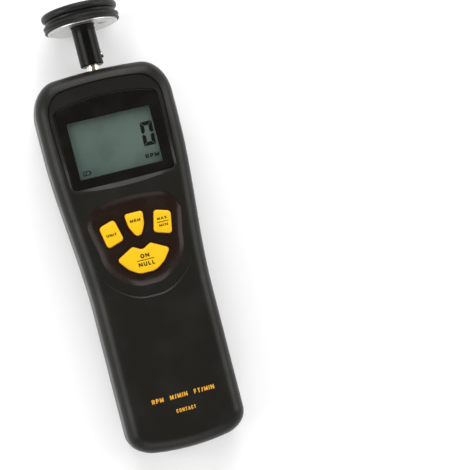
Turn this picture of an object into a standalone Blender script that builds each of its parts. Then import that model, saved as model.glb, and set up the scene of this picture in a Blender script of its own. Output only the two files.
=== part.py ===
"""A hand-held contact tachometer: two black shells, a display under a dark window, four yellow
keys, a battery behind a sliding door, and a tyred measuring wheel on a spindle in two bearings.

The instrument lies on its back. +Z points out of its face, +Y towards the wheel, +X to its right.
Lengths are in metres. A place along the body is its distance from the body's lower end, and at()
turns it into Y. A height is measured from the back. Places on the spindle are measured outwards
from the body's upper end.
"""

import math
from dataclasses import dataclass

import bmesh
import bpy
from mathutils import Vector
from mathutils.geometry import interpolate_bezier

# Gaps between pieces
SEAT_GAP = 0.0003
RUN_GAP = 0.0002
WELD = 1e-6

# How far a joined form sinks into its neighbour, and how far a cutter reaches past what it cuts
SINK = 0.0005
PAST = 0.002

# Body
BODY_LENGTH = 0.1835
HEAD_WIDTH = 0.0668
GRIP_WIDTH = 0.0574
BODY_DEPTH = 0.036
WALL = 0.0022
FRONT_EDGE_RADIUS = 0.007
BACK_EDGE_RADIUS = 0.006
SIDE_DRAFT = 0.0005
GRIP_LENGTH = 0.071
NECK_LENGTH = 0.080
TOP_BOW = 0.0024
BOTTOM_BOW = 0.0038
LAP_DEPTH = 0.0018
PARTING_BAND = 0.003

# Display
SIGHT_SIDE = 0.0134
SIGHT_LENGTH = 0.0273
SIGHT_BELOW_TOP = 0.03645
WINDOW_SINK = 0.0012
WINDOW_THICKNESS = 0.0012
WINDOW_SIDE = 0.0049
WINDOW_ABOVE = 0.0097
WINDOW_BELOW = 0.0045
WINDOW_LIP = 0.0022
SIGHT_CORNER = 0.0006
RIM_WIDTH = 0.0064
RIM_STEP = 0.0007
LEDGE = 0.0008
DISPLAY_MARGIN = 0.003
DISPLAY_THICKNESS = 0.0022
GLASS_STEP = 0.0004
STRIP_THICKNESS = 0.0017
STRIP_WIDTH = 0.002
HOLDER_WALL = 0.0012

# Circuit board
BOARD_THICKNESS = 0.0016
BOARD_HEAD_SIDE = 0.0079
BOARD_GRIP_SIDE = 0.00745
BOARD_END = 0.001
BOARD_CORNER = 0.001
POST_RADIUS = 0.0022
POST_CLEARANCE = 0.001
LOW_POST_SIDE = 0.004
LOW_POST_UP = 0.0042
HIGH_POST_SIDE = 0.001
CHIP_SIDE = 0.012
CHIP_HEIGHT = 0.0016
CRYSTAL_X = 0.0095
CRYSTAL_WIDTH = 0.004
CRYSTAL_LENGTH = 0.010
CRYSTAL_HEIGHT = 0.0035
CAPACITOR_X = 0.0125
CAPACITOR_RADIUS = 0.0025
CAPACITOR_HEIGHT = 0.0055

# Keys, with outline points measured from the keypad's centre
KEYPAD_BELOW_SIGHT = 0.04835
KEYPAD_WIDTH = 0.0446
KEYPAD_ABOVE = 0.0226
KEYPAD_BELOW = 0.0203
KEYPAD_SINK = 0.0018
KEYPAD_FLOOR = 0.0022
KEY_STAND = 0.0014
KEY_TRAVEL = 0.0007
KEY_FLANGE = 0.001
KEY_FLANGE_THICKNESS = 0.001
KEY_EDGE = 0.0004
MAT_THICKNESS = 0.0008
MAT_SHARE = 0.84
DOME_RADIUS = 0.0026
DOME_TOP_RADIUS = 0.0017
DOME_PLACES = ((-0.0124, 0.0072), (0.0, 0.0098), (0.0124, 0.0072), (0.0, -0.0082))
TERRACE_WIDTH = 0.0054
TERRACE_DEPTH = 0.00045
TERRACE_SLOPE = 0.03

# The dish round the keys, from its floor out to its rim: share of the outline, share of the depth
DISH_PROFILE = ((0.50, 1.0), (0.76, 0.94), (0.90, 0.76), (0.955, 0.55), (1.0, 0.0))

# Battery and its door
BATTERY_WIDTH = 0.0265
BATTERY_THICKNESS = 0.0175
BATTERY_PLAY = 0.0004
TERMINAL_SPACING = 0.0127
TERMINAL_HEIGHT = 0.0024
STUD_RADIUS = 0.0028
SOCKET_RADIUS = 0.004
BATTERY_EDGE = 0.0012
SNAP_LENGTH = 0.0048
SNAP_WIDTH = 0.0255
SNAP_HEIGHT = 0.0127
DOOR_THICKNESS = 0.002
DOOR_END_THICKNESS = 0.0036
DOOR_END_HEIGHT = 0.009
DOOR_BORDER = 0.0033
DOOR_TONGUE = 0.0012
RAIL_THICKNESS = 0.0009
RAIL_SET = 0.0001
CATCH_HALF = 0.006
DOOR_RIBS = 5
RIB_PITCH = 0.0022
RIB_FROM_TOP = 0.009
RIB_HALF = 0.008
RIB_SHORTENING = 0.0012
RIB_DEPTH = 0.0005
WELL_WALL = 0.0016
BED_THICKNESS = 0.0022
BED_LOW = 0.0065
BED_BORDER = 0.0015
NOTCH_HALF = 0.006
NOTCH_DEPTH = 0.008
LEAD_RADIUS = 0.0006
LEAD_START_X = 0.003
LEAD_START_RISE = 0.004
LEAD_STOP_X = 0.008
LEAD_SWEEP = 0.8
LEAD_ROOM = 0.0183
SNAP_ROOM = 0.0015
ROOF_SET = 0.001
DOOR_BEYOND_WELL = 0.002
DOOR_SET = 0.0002

# Screws
CASE_SCREW_RADIUS = 0.0013
CASE_HEAD_RADIUS = 0.0025
CASE_HEAD_HEIGHT = 0.0018
COUNTERBORE_DEPTH = 0.008
SCREW_RUN_OUT = 0.001
SMALL_SCREW_RADIUS = 0.001
SMALL_HEAD_RADIUS = 0.0018
SMALL_HEAD_HEIGHT = 0.0012
SMALL_SCREW_LENGTH = 0.006
BOSS_WALL = 0.0016
PILLAR_WALL = 0.0013
LOW_PILLAR_SIDE = 0.0085
LOW_PILLAR_CLEARANCE = 0.0035
HIGH_PILLAR_SIDE = 0.0114
HIGH_PILLAR_BELOW_TOP = 0.0122

# Spindle and bearings
SPINDLE_RADIUS = 0.00315
JOURNAL_RADIUS = 0.0025
SPINDLE_HOLE_GAP = 0.0005
SPINDLE_OUT = 0.0194
BEARING_RADIUS = 0.0055
BEARING_WIDTH = 0.005
BEARING_LIP = 0.0012
SHIELD_DEPTH = 0.0003
BLOCK_WALL = 0.001
BLOCK_LENGTH = 0.031
CLIP_THICKNESS = 0.0006
CLIP_RADIUS = 0.0042
ENCODER_RADIUS = 0.0054
ENCODER_THICKNESS = 0.0006
ENCODER_SLOTS = 6
SENSOR_WIDTH = 0.005
SENSOR_ARM = 0.0026
SENSOR_CLEARANCE = 0.0006
ENCODER_HUB_RADIUS = 0.0030
ENCODER_HUB_LENGTH = 0.0062
ENCODER_RIM = 0.0008
CLIP_GROOVE = 0.0005
SPINDLE_CHAMFER = 0.0004
EAR_LENGTH = 0.012
EAR_REACH = 0.008
EAR_HOLE_OUT = 0.0047
EAR_DROP = 0.0046
EAR_THICKNESS = 0.0025
EAR_PILLAR_RADIUS = 0.003

# Measuring wheel
HUB_GAP = 0.0031
HUB_RADIUS = 0.0056
WHEEL_OUT = 0.0224
WHEEL_WIDTH = 0.0088
TYRE_RADIUS = 0.0184
TYRE_SEAT_RADIUS = 0.015
BOSS_STAND = 0.0012
SET_SCREW_RADIUS = 0.0015
SET_SCREW_STAND = 0.0008
SET_SCREW_OUT = 0.0075
FLANGE_RADIUS = 0.0078
FLANGE_THICKNESS = 0.0012
DISC_SETBACK = 0.0011
DISC_WEB = 0.0045
DISC_FLANGE_RADIUS = 0.017
BOSS_RADIUS = 0.0135
LIP_HEIGHT = 0.0012
RIM_THICKNESS = 0.0018
DISC_HOLE_RADIUS = 0.00125
DISC_HOLE_OUT = 0.0089
DISC_HOLE_DEPTH = 0.0028

# The tyre's outside, front to back: depth under its largest radius, share of its width
TREAD_PROFILE = (
    (0.0010, 0.0),
    (0.0002, 0.08),
    (0.0, 0.19),
    (0.0002, 0.30),
    (0.0009, 0.38),
    (0.0018, 0.42),
    (0.0018, 0.55),
    (0.0008, 0.59),
    (0.0001, 0.66),
    (0.0, 0.74),
    (0.0005, 0.82),
    (0.0008, 0.85),
    (0.0003, 0.88),
    (0.0002, 0.95),
    (0.0005, 1.0),
)

# Places that follow from the sizes above
OVERALL_LENGTH = BODY_LENGTH + WHEEL_OUT + WHEEL_WIDTH
SIGHT_WIDTH = HEAD_WIDTH - 2 * SIGHT_SIDE
SIGHT_CENTRE = BODY_LENGTH - SIGHT_BELOW_TOP
KEYPAD_CENTRE = SIGHT_CENTRE - KEYPAD_BELOW_SIGHT
WINDOW_TOP_HEIGHT = BODY_DEPTH - WINDOW_SINK
LEDGE_TOP_HEIGHT = WINDOW_TOP_HEIGHT - WINDOW_THICKNESS - SEAT_GAP
DISPLAY_TOP_HEIGHT = LEDGE_TOP_HEIGHT - LEDGE - SEAT_GAP
STRIP_TOP_HEIGHT = DISPLAY_TOP_HEIGHT - DISPLAY_THICKNESS - SEAT_GAP
BOARD_TOP_HEIGHT = STRIP_TOP_HEIGHT - STRIP_THICKNESS - SEAT_GAP
BOARD_LOW_HEIGHT = BOARD_TOP_HEIGHT - BOARD_THICKNESS
KEYPAD_UNDER_HEIGHT = BODY_DEPTH - KEYPAD_SINK - KEYPAD_FLOOR
KEY_TOP_HEIGHT = BODY_DEPTH - KEYPAD_SINK + KEY_STAND
KEY_LOW_HEIGHT = KEYPAD_UNDER_HEIGHT - SEAT_GAP - KEY_FLANGE_THICKNESS
MAT_TOP_HEIGHT = BOARD_TOP_HEIGHT + SEAT_GAP + MAT_THICKNESS
DOME_TOP_HEIGHT = KEY_LOW_HEIGHT - KEY_TRAVEL - SEAT_GAP
HOLDER_REACH = DISPLAY_MARGIN + SEAT_GAP + HOLDER_WALL
BOARD_HEAD_WIDTH = HEAD_WIDTH - 2 * BOARD_HEAD_SIDE
BOARD_GRIP_WIDTH = GRIP_WIDTH - 2 * BOARD_GRIP_SIDE
BOARD_HIGH = SIGHT_CENTRE + SIGHT_LENGTH / 2 + HOLDER_REACH + BOARD_END
BOARD_LOW = KEYPAD_CENTRE - KEYPAD_BELOW - BOARD_END
CASE_SCREW_LENGTH = BODY_DEPTH / 2
CASE_BOSS_RADIUS = CASE_SCREW_RADIUS + SEAT_GAP + BOSS_WALL
PILLAR_RADIUS = CASE_HEAD_RADIUS + SEAT_GAP + PILLAR_WALL
BLOCK_RADIUS = BEARING_RADIUS + SEAT_GAP + BLOCK_WALL
BLOCK_OUT = -WALL - SEAT_GAP
BLOCK_IN = BLOCK_OUT - BLOCK_LENGTH
ENCODER_TOP = BLOCK_IN - RUN_GAP * 3 - CLIP_THICKNESS
ENCODER_LOW = ENCODER_TOP - ENCODER_HUB_LENGTH
SPINDLE_HEIGHT = BOARD_LOW_HEIGHT - SEAT_GAP - BLOCK_RADIUS
EAR_TOP_HEIGHT = SPINDLE_HEIGHT - EAR_DROP
EAR_HALF = BLOCK_RADIUS + EAR_REACH
EAR_PLACES = ((BLOCK_RADIUS + EAR_HOLE_OUT, BODY_LENGTH + BLOCK_OUT - BLOCK_LENGTH / 2),)
BATTERY_LOW = DOOR_END_THICKNESS + BATTERY_PLAY
BATTERY_UNDER_HEIGHT = DOOR_THICKNESS + SEAT_GAP
WELL_HIGH = BOARD_LOW - LEAD_ROOM
SNAP_HIGH = WELL_HIGH - SNAP_ROOM
SNAP_LOW = SNAP_HIGH - SNAP_LENGTH
BATTERY_HIGH = SNAP_LOW - SEAT_GAP
WELL_HALF = BATTERY_WIDTH / 2 + BATTERY_PLAY
ROOF_LOW = DOOR_END_THICKNESS + ROOF_SET
WELL_CEILING_HEIGHT = BATTERY_UNDER_HEIGHT + BATTERY_THICKNESS + BATTERY_PLAY
DOOR_HALF = WELL_HALF + DOOR_BORDER
DOOR_LENGTH = WELL_HIGH + DOOR_BEYOND_WELL
PILLAR_LOW_PLACE = DOOR_LENGTH + DOOR_TONGUE + PILLAR_RADIUS + LOW_PILLAR_CLEARANCE
CASE_SCREW_PLACES = (
    (GRIP_WIDTH / 2 - LOW_PILLAR_SIDE, PILLAR_LOW_PLACE),
    (HEAD_WIDTH / 2 - HIGH_PILLAR_SIDE, BODY_LENGTH - HIGH_PILLAR_BELOW_TOP),
)
POST_PLACES = (
    (BOARD_GRIP_WIDTH / 2 - LOW_POST_SIDE, BOARD_LOW + LOW_POST_UP),
    (
        BOARD_GRIP_WIDTH / 2 - HIGH_POST_SIDE,
        SIGHT_CENTRE - SIGHT_LENGTH / 2 - HOLDER_REACH - POST_RADIUS - POST_CLEARANCE,
    ),
)


def at(distance):
    """Y of a place along the body, given as its distance from the body's lower end."""
    return distance - OVERALL_LENGTH / 2


@dataclass(frozen=True)
class Outline:
    """A plan outline, alike on both sides, from a lower end to an upper end along the body."""

    low: float
    high: float
    half_low: float
    half_high: float
    taper_low: float
    taper_high: float
    low_bow: float
    high_bow: float
    low_corner: tuple
    high_corner: tuple
    fullness: float = 0.55
    end_steps: int = 5
    corner_steps: int = 6
    side_steps: int = 6

    def half_width(self, place):
        """Half the width at a place, easing from the lower half width to the upper one."""
        share = (place - self.taper_low) / (self.taper_high - self.taper_low)
        share = min(1.0, max(0.0, share))
        return self.half_low + (self.half_high - self.half_low) * share * share * (3 - 2 * share)

    def corner(self, end, bow, half, size, inward):
        """A corner's curve from the bowed end to the side; inward is +1 at the lower end."""
        start_x = half - size[0]
        start = Vector((start_x, end + inward * bow * (start_x / half) ** 2))
        slope = Vector((1.0, inward * 2 * bow * start_x / half**2))
        stop_place = end + inward * size[1]
        stop = Vector((self.half_width(stop_place), stop_place))
        first = start + slope * self.fullness * (stop.x - start.x)
        second = stop - Vector((0.0, self.fullness * (stop.y - start.y)))
        return [p.copy() for p in interpolate_bezier(start, first, second, stop, self.corner_steps + 1)]

    def points(self):
        """The outline's points, counter-clockwise, starting at the middle of the lower end."""
        low = self.corner(self.low, self.low_bow, self.half_low, self.low_corner, 1)
        high = self.corner(self.high, self.high_bow, self.half_high, self.high_corner, -1)
        half = []
        for step in range(self.end_steps):
            x = low[0].x * step / self.end_steps
            half.append(Vector((x, self.low + self.low_bow * (x / self.half_low) ** 2)))
        half += low
        for step in range(1, self.side_steps):
            place = low[-1].y + (high[-1].y - low[-1].y) * step / self.side_steps
            half.append(Vector((self.half_width(place), place)))
        half += high[::-1]
        for step in range(self.end_steps - 1, -1, -1):
            x = high[0].x * step / self.end_steps
            half.append(Vector((x, self.high - self.high_bow * (x / self.half_high) ** 2)))
        left = [Vector((-p.x, p.y)) for p in half[-2:0:-1]]
        return half + left


BODY = Outline(
    low=0.0,
    high=BODY_LENGTH,
    half_low=GRIP_WIDTH / 2,
    half_high=HEAD_WIDTH / 2,
    taper_low=GRIP_LENGTH,
    taper_high=GRIP_LENGTH + NECK_LENGTH,
    low_bow=BOTTOM_BOW,
    high_bow=TOP_BOW,
    low_corner=(0.0117, 0.0125),
    high_corner=(0.0125, 0.0185),
    end_steps=4,
    corner_steps=5,
    side_steps=5,
)
WINDOW = Outline(
    low=SIGHT_CENTRE - SIGHT_LENGTH / 2 - WINDOW_BELOW,
    high=SIGHT_CENTRE + SIGHT_LENGTH / 2 + WINDOW_ABOVE,
    half_low=SIGHT_WIDTH / 2 + WINDOW_SIDE - 0.0005,
    half_high=SIGHT_WIDTH / 2 + WINDOW_SIDE,
    taper_low=SIGHT_CENTRE - SIGHT_LENGTH / 2,
    taper_high=SIGHT_CENTRE + SIGHT_LENGTH / 2,
    low_bow=0.0004,
    high_bow=0.0033,
    low_corner=(0.0022, 0.0026),
    high_corner=(0.0036, 0.0062),
    end_steps=4,
    corner_steps=4,
    side_steps=3,
)
SURROUND = Outline(
    low=WINDOW.low - 0.0029,
    high=BODY_LENGTH - RIM_WIDTH,
    half_low=WINDOW.half_low + 0.0016,
    half_high=HEAD_WIDTH / 2 - RIM_WIDTH + 0.0003,
    taper_low=WINDOW.low,
    taper_high=SIGHT_CENTRE + SIGHT_LENGTH / 2,
    low_bow=0.0026,
    high_bow=0.0026,
    low_corner=(0.0036, 0.0052),
    high_corner=(0.0095, 0.0130),
    end_steps=4,
    corner_steps=4,
    side_steps=3,
)
KEYPAD = Outline(
    low=KEYPAD_CENTRE - KEYPAD_BELOW,
    high=KEYPAD_CENTRE + KEYPAD_ABOVE,
    half_low=KEYPAD_WIDTH / 2 - 0.0026,
    half_high=KEYPAD_WIDTH / 2,
    taper_low=KEYPAD_CENTRE - 0.004,
    taper_high=KEYPAD_CENTRE + 0.013,
    low_bow=0.0002,
    high_bow=0.0032,
    low_corner=(0.0172, 0.0180),
    high_corner=(0.0075, 0.0105),
    fullness=0.45,
    end_steps=3,
    corner_steps=7,
    side_steps=2,
)

# Key outlines: X, distance above the keypad's centre, corner radius
SIDE_KEY = (
    (0.0174, 0.0113, 0.0016),
    (0.0095, 0.0136, 0.0013),
    (0.0070, 0.0032, 0.0015),
    (0.0155, 0.0005, 0.0013),
)
MEMORY_KEY = (
    (0.0046, 0.0146, 0.0013),
    (-0.0046, 0.0146, 0.0013),
    (-0.0037, 0.0086, 0.0060),
    (0.0, 0.0006, 0.0017),
    (0.0037, 0.0086, 0.0060),
)
POWER_KEY = (
    (0.0128, -0.0055, 0.0009),
    (0.0043, -0.0009, 0.0014),
    (0.0, -0.0033, 0.0024),
    (-0.0043, -0.0009, 0.0014),
    (-0.0128, -0.0055, 0.0009),
    (-0.0087, -0.0110, 0.0070),
    (-0.0040, -0.0142, 0.0070),
    (0.0040, -0.0142, 0.0070),
    (0.0087, -0.0110, 0.0070),
)


def rounded(corners, steps=3):
    """A counter-clockwise outline of corner points, each rounded to its own radius."""
    points = []
    for index, (x, y, radius) in enumerate(corners):
        corner = Vector((x, y))
        to_last = (Vector(corners[index - 1][:2]) - corner).normalized()
        to_next = (Vector(corners[(index + 1) % len(corners)][:2]) - corner).normalized()
        half_angle = to_last.angle(to_next) / 2
        reach = radius / math.tan(half_angle)
        centre = corner + (to_last + to_next).normalized() * radius / math.sin(half_angle)
        start = corner + to_last * reach - centre
        turn = start.angle_signed(corner + to_next * reach - centre)
        for step in range(steps + 1):
            angle = -turn * step / steps
            spun = Vector(
                (
                    start.x * math.cos(angle) - start.y * math.sin(angle),
                    start.x * math.sin(angle) + start.y * math.cos(angle),
                )
            )
            points.append(centre + spun)
    return points


def inset(points, distance):
    """A counter-clockwise outline moved inwards by a distance, or outwards by a negative one."""
    moved = []
    for index, point in enumerate(points):
        before = (point - points[index - 1]).normalized()
        after = (points[(index + 1) % len(points)] - point).normalized()
        normals = Vector((-before.y - after.y, before.x + after.x))
        moved.append(point + normals * distance / (1 + before.dot(after)))
    return moved


def scaled(points, centre, share):
    """An outline shrunk towards a centre."""
    return [centre + (point - centre) * share for point in points]


def ring(points, height):
    """An outline's points in space; height is a number, or a function of the place along the body."""
    level = height if callable(height) else lambda place: height
    return [Vector((p.x, at(p.y), level(p.y))) for p in points]


def put(obj, collection, colour=None):
    """Files an object in a collection and gives it its finish."""
    collection.objects.link(obj)
    if colour is not None:
        obj.data.materials.append(colour)
    return obj


def as_helper(obj):
    """Marks a solid that only cuts another piece or is joined to it."""
    obj.hide_render = True
    obj.display_type = "WIRE"
    return obj


def shaded(obj, angle=30.0):
    """Shades a piece smooth, apart from its corners."""
    obj.data.shade_smooth()
    obj.data.set_sharp_from_angle(angle=math.radians(angle))
    return obj


def loft(name, rings, collection, colour=None, cap_low=True, cap_high=True):
    """A skin over rings of equally many points, each counter-clockwise and above the last."""
    form = bmesh.new()
    loops = [[form.verts.new(point) for point in points] for points in rings]
    for lower, upper in zip(loops, loops[1:]):
        for index in range(len(lower)):
            after = (index + 1) % len(lower)
            form.faces.new((lower[index], lower[after], upper[after], upper[index]))
    if cap_low:
        form.faces.new(loops[0][::-1])
    if cap_high:
        form.faces.new(loops[-1])
    mesh = bpy.data.meshes.new(name)
    form.to_mesh(mesh)
    form.free()
    return put(bpy.data.objects.new(name, mesh), collection, colour)


def welded(maker, name, collection, colour=None):
    """The mesh object of a curve, with its caps joined to its sides and all its faces turned out."""
    bpy.context.scene.collection.objects.link(maker)
    bpy.context.view_layer.update()
    graph = bpy.context.evaluated_depsgraph_get()
    mesh = bpy.data.meshes.new_from_object(maker.evaluated_get(graph))
    mesh.name = name
    form = bmesh.new()
    form.from_mesh(mesh)
    bmesh.ops.remove_doubles(form, verts=form.verts, dist=WELD)
    bmesh.ops.recalc_face_normals(form, faces=form.faces)
    form.to_mesh(mesh)
    form.free()
    obj = bpy.data.objects.new(name, mesh)
    obj.matrix_world = maker.matrix_world
    bpy.data.objects.remove(maker)
    return put(obj, collection, colour)


def plate(name, outlines, low, high, collection, colour=None):
    """A flat outline, with any holes as further outlines, filled between two heights."""
    curve = bpy.data.curves.new(name, "CURVE")
    curve.dimensions = "2D"
    curve.fill_mode = "BOTH"
    curve.extrude = (high - low) / 2
    for outline in outlines:
        spline = curve.splines.new("POLY")
        spline.points.add(len(outline) - 1)
        for knot, point in zip(spline.points, outline):
            knot.co = (point.x, at(point.y), 0.0, 1.0)
        spline.use_cyclic_u = True
    maker = bpy.data.objects.new(name + "_outline", curve)
    maker.location.z = (low + high) / 2
    return welded(maker, name, collection, colour)


def box_object(name, size):
    """A box of a size, centred on its origin."""
    form = bmesh.new()
    bmesh.ops.create_cube(form, size=1.0)
    bmesh.ops.scale(form, vec=size, verts=form.verts)
    mesh = bpy.data.meshes.new(name)
    form.to_mesh(mesh)
    form.free()
    return bpy.data.objects.new(name, mesh)


def block(name, low_corner, high_corner, collection, colour=None):
    """A box between two corners, each as X, place along the body and height."""
    obj = box_object(name, Vector(high_corner) - Vector(low_corner))
    middle = (Vector(high_corner) + Vector(low_corner)) / 2
    obj.location = (middle.x, at(middle.y), middle.z)
    return put(obj, collection, colour)


def post(name, x, place, low, high, radius, collection, top_radius=None, segments=12):
    """An upright cylinder or cone between two heights."""
    form = bmesh.new()
    bmesh.ops.create_cone(
        form,
        cap_ends=True,
        segments=segments,
        radius1=radius,
        radius2=radius if top_radius is None else top_radius,
        depth=high - low,
    )
    mesh = bpy.data.meshes.new(name)
    form.to_mesh(mesh)
    form.free()
    obj = bpy.data.objects.new(name, mesh)
    obj.location = (x, at(place), (low + high) / 2)
    return put(obj, collection)


def turned(name, profile, collection, colour=None, parent=None, closed=True, steps=24):
    """A profile of (radius, distance) points turned about local Z, its outer side listed downwards."""
    count = len(profile)
    edges = [(index, index + 1) for index in range(count - 1)]
    if closed:
        edges.append((count - 1, 0))
    mesh = bpy.data.meshes.new(name)
    mesh.from_pydata([(radius, 0.0, distance) for radius, distance in profile], edges, [])
    obj = put(bpy.data.objects.new(name, mesh), collection, colour)
    obj.parent = parent
    screw = obj.modifiers.new("turn", "SCREW")
    screw.axis = "Z"
    screw.steps = steps
    screw.render_steps = steps
    screw.use_merge_vertices = True
    screw.merge_threshold = 1e-5
    screw.use_smooth_shade = True
    return obj


def combine(target, tools, operation):
    """Cuts tools from a piece, or joins them to it, one Boolean modifier each.

    The shells' walls meet their laps and bosses nearly flush, which the exact solver leaves open.
    """
    solver = "MANIFOLD" if target.name.endswith("_shell") else "EXACT"
    for tool in tools:
        step = target.modifiers.new(operation.lower() + " " + tool.name, "BOOLEAN")
        step.operation = operation
        step.solver = solver
        step.object = as_helper(tool)
    return target


def cut(target, *tools):
    """Cuts each tool from the target."""
    return combine(target, tools, "DIFFERENCE")


def join(target, *tools):
    """Joins each tool to the target as one moulding."""
    return combine(target, tools, "UNION")


def round_edges(obj, width, segments=2, angle=50.0):
    """Rounds a solid's sharp edges."""
    bevel = obj.modifiers.new("rounded edges", "BEVEL")
    bevel.width = width
    bevel.segments = segments
    bevel.limit_method = "ANGLE"
    bevel.angle_limit = math.radians(angle)
    return obj


def finish(name, colour, roughness, metallic=0.0):
    """A plain surface of one colour."""
    material = bpy.data.materials.new(name)
    material.use_nodes = True
    shader = material.node_tree.nodes["Principled BSDF"]
    shader.inputs["Base Color"].default_value = (*colour, 1.0)
    shader.inputs["Roughness"].default_value = roughness
    shader.inputs["Metallic"].default_value = metallic
    return material


def both_sides(places):
    """Each place on the right-hand side, and its mirror place on the left."""
    return [(side * x, place) for x, place in places for side in (-1, 1)]


def edge_rounding(radius, steps=4):
    """Insets and heights of a quarter round, from the side wall to the flat."""
    angles = [math.pi / 2 * step / steps for step in range(1, steps + 1)]
    return [(radius * (1 - math.cos(angle)), radius * math.sin(angle)) for angle in angles]


def clear_scene():
    """Empties the scene."""
    for obj in list(bpy.data.objects):
        bpy.data.objects.remove(obj)


def new_collection(name, parent):
    """A named collection under another."""
    collection = bpy.data.collections.new(name)
    parent.children.link(collection)
    return collection


class Shop:
    """Where the pieces and the helper solids are kept, and the finishes they share."""

    def __init__(self):
        root = bpy.context.scene.collection
        self.parts = new_collection("contact_tachometer", root)
        self.helpers = new_collection("helpers", root)
        self.shell = finish("black_moulding", (0.020, 0.021, 0.018), 0.45)
        self.window = finish("dark_window", (0.012, 0.011, 0.010), 0.06)
        self.key = finish("yellow_key", (0.95, 0.62, 0.03), 0.4)
        self.glass = finish("display_glass", (0.10, 0.16, 0.14), 0.15)
        self.rubber = finish("black_rubber", (0.018, 0.018, 0.017), 0.6)
        self.grey_rubber = finish("grey_rubber", (0.25, 0.25, 0.24), 0.7)
        self.board = finish("circuit_board", (0.02, 0.16, 0.06), 0.4)
        self.chip = finish("chip_resin", (0.015, 0.015, 0.015), 0.5)
        self.steel = finish("steel", (0.56, 0.55, 0.53), 0.25, 1.0)
        self.nickel = finish("nickel_plate", (0.78, 0.74, 0.66), 0.15, 1.0)
        self.aluminium = finish("turned_aluminium", (0.80, 0.80, 0.79), 0.3, 1.0)
        self.sleeve = finish("black_sleeve", (0.03, 0.029, 0.027), 0.3)
        self.battery = finish("battery_jacket", (0.05, 0.05, 0.06), 0.4)
        self.red = finish("red_insulation", (0.6, 0.02, 0.02), 0.5)


def case_screw_holes(shop):
    """Cutters for the case screws in the front shell's bosses."""
    top = COUNTERBORE_DEPTH + CASE_SCREW_LENGTH + SCREW_RUN_OUT
    return [
        post(f"case_screw_pilot_{index}", x, place, SPINDLE_HEIGHT - PAST, top,
             CASE_SCREW_RADIUS + SEAT_GAP, shop.helpers)
        for index, (x, place) in enumerate(both_sides(CASE_SCREW_PLACES))
    ]


def spindle_hole(shop, name):
    """The cutter for the hole in the body's upper end, half in each shell."""
    radius = SPINDLE_RADIUS + SPINDLE_HOLE_GAP
    hole = post(name, 0.0, BODY_LENGTH, -2 * WALL, 2 * WALL, radius, shop.helpers, segments=20)
    hole.rotation_euler.x = math.radians(90)
    hole.location.z = SPINDLE_HEIGHT
    return hole


def key_outlines():
    """Each key's name and its outline along the body."""
    side, memory, on_off = (
        [(x, KEYPAD_CENTRE + rise, radius) for x, rise, radius in corners]
        for corners in (SIDE_KEY, MEMORY_KEY, POWER_KEY)
    )
    return {
        "key_unit": rounded([(-x, place, radius) for x, place, radius in side[::-1]]),
        "key_mem": rounded(memory),
        "key_max_min": rounded(side),
        "key_on_null": rounded(on_off),
    }


def front_shell(shop):
    """The front moulding: rounded rim, sunken display surround, dished keypad, bosses inside."""
    outline = BODY.points()
    parting = SPINDLE_HEIGHT + SEAT_GAP / 2
    shoulder = BODY_DEPTH - FRONT_EDGE_RADIUS
    rings = [
        ring(outline, parting),
        ring(outline, parting + PARTING_BAND),
        ring(inset(outline, SIDE_DRAFT), shoulder),
    ]
    for step_in, step_up in edge_rounding(FRONT_EDGE_RADIUS):
        rings.append(ring(inset(outline, SIDE_DRAFT + step_in), shoulder + step_up))
    shell = loft("front_shell", rings, shop.parts, shop.shell, cap_low=False)
    hollow_out(shell)

    ceiling = BODY_DEPTH - WALL + SINK
    join(
        shell,
        plate("window_frame", [inset(WINDOW.points(), -WINDOW_LIP)], DISPLAY_TOP_HEIGHT + SEAT_GAP,
              BODY_DEPTH - SINK, shop.helpers),
        plate("keypad_backing", [inset(KEYPAD.points(), SINK)], KEYPAD_UNDER_HEIGHT, ceiling, shop.helpers),
        *[
            post(f"case_boss_{index}", x, place, parting, ceiling, CASE_BOSS_RADIUS, shop.helpers)
            for index, (x, place) in enumerate(both_sides(CASE_SCREW_PLACES))
        ],
        *[
            post(f"board_post_{index}", x, place, BOARD_TOP_HEIGHT + SEAT_GAP, ceiling, POST_RADIUS,
                 shop.helpers)
            for index, (x, place) in enumerate(both_sides(POST_PLACES))
        ],
    )
    lap = plate("front_lap", [inset(outline, WALL / 2), inset(outline, WALL + SINK)], parting - SINK,
                parting + LAP_DEPTH, shop.helpers)
    window_pocket = plate("window_pocket", [inset(WINDOW.points(), -SEAT_GAP / 2)], LEDGE_TOP_HEIGHT,
                          BODY_DEPTH, shop.helpers)
    cut(
        shell,
        lap,
        surround_cutter(shop),
        window_pocket,
        plate("sight_opening", [sight_corners(0.0)], DISPLAY_TOP_HEIGHT, WINDOW_TOP_HEIGHT, shop.helpers),
        terrace_cutter(shop),
        keypad_cutter(shop),
        spindle_hole(shop, "front_spindle_hole"),
        *case_screw_holes(shop),
    )
    for name, key in key_outlines().items():
        cut(shell, plate(name + "_hole", [inset(key, -SEAT_GAP)], KEYPAD_UNDER_HEIGHT - PAST / 2,
                         BODY_DEPTH + PAST, shop.helpers))
    for index, (x, place) in enumerate(both_sides(POST_PLACES)):
        cut(shell, post(f"post_pilot_{index}", x, place, BOARD_TOP_HEIGHT,
                        BOARD_LOW_HEIGHT + SMALL_SCREW_LENGTH, SMALL_SCREW_RADIUS + SEAT_GAP, shop.helpers))
    return shaded(shell)


def hollow_out(shell):
    """Thins a shell to the wall's thickness, inwards."""
    wall = shell.modifiers.new("wall", "SOLIDIFY")
    wall.thickness = WALL
    wall.offset = -1.0
    wall.use_even_offset = True


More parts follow.
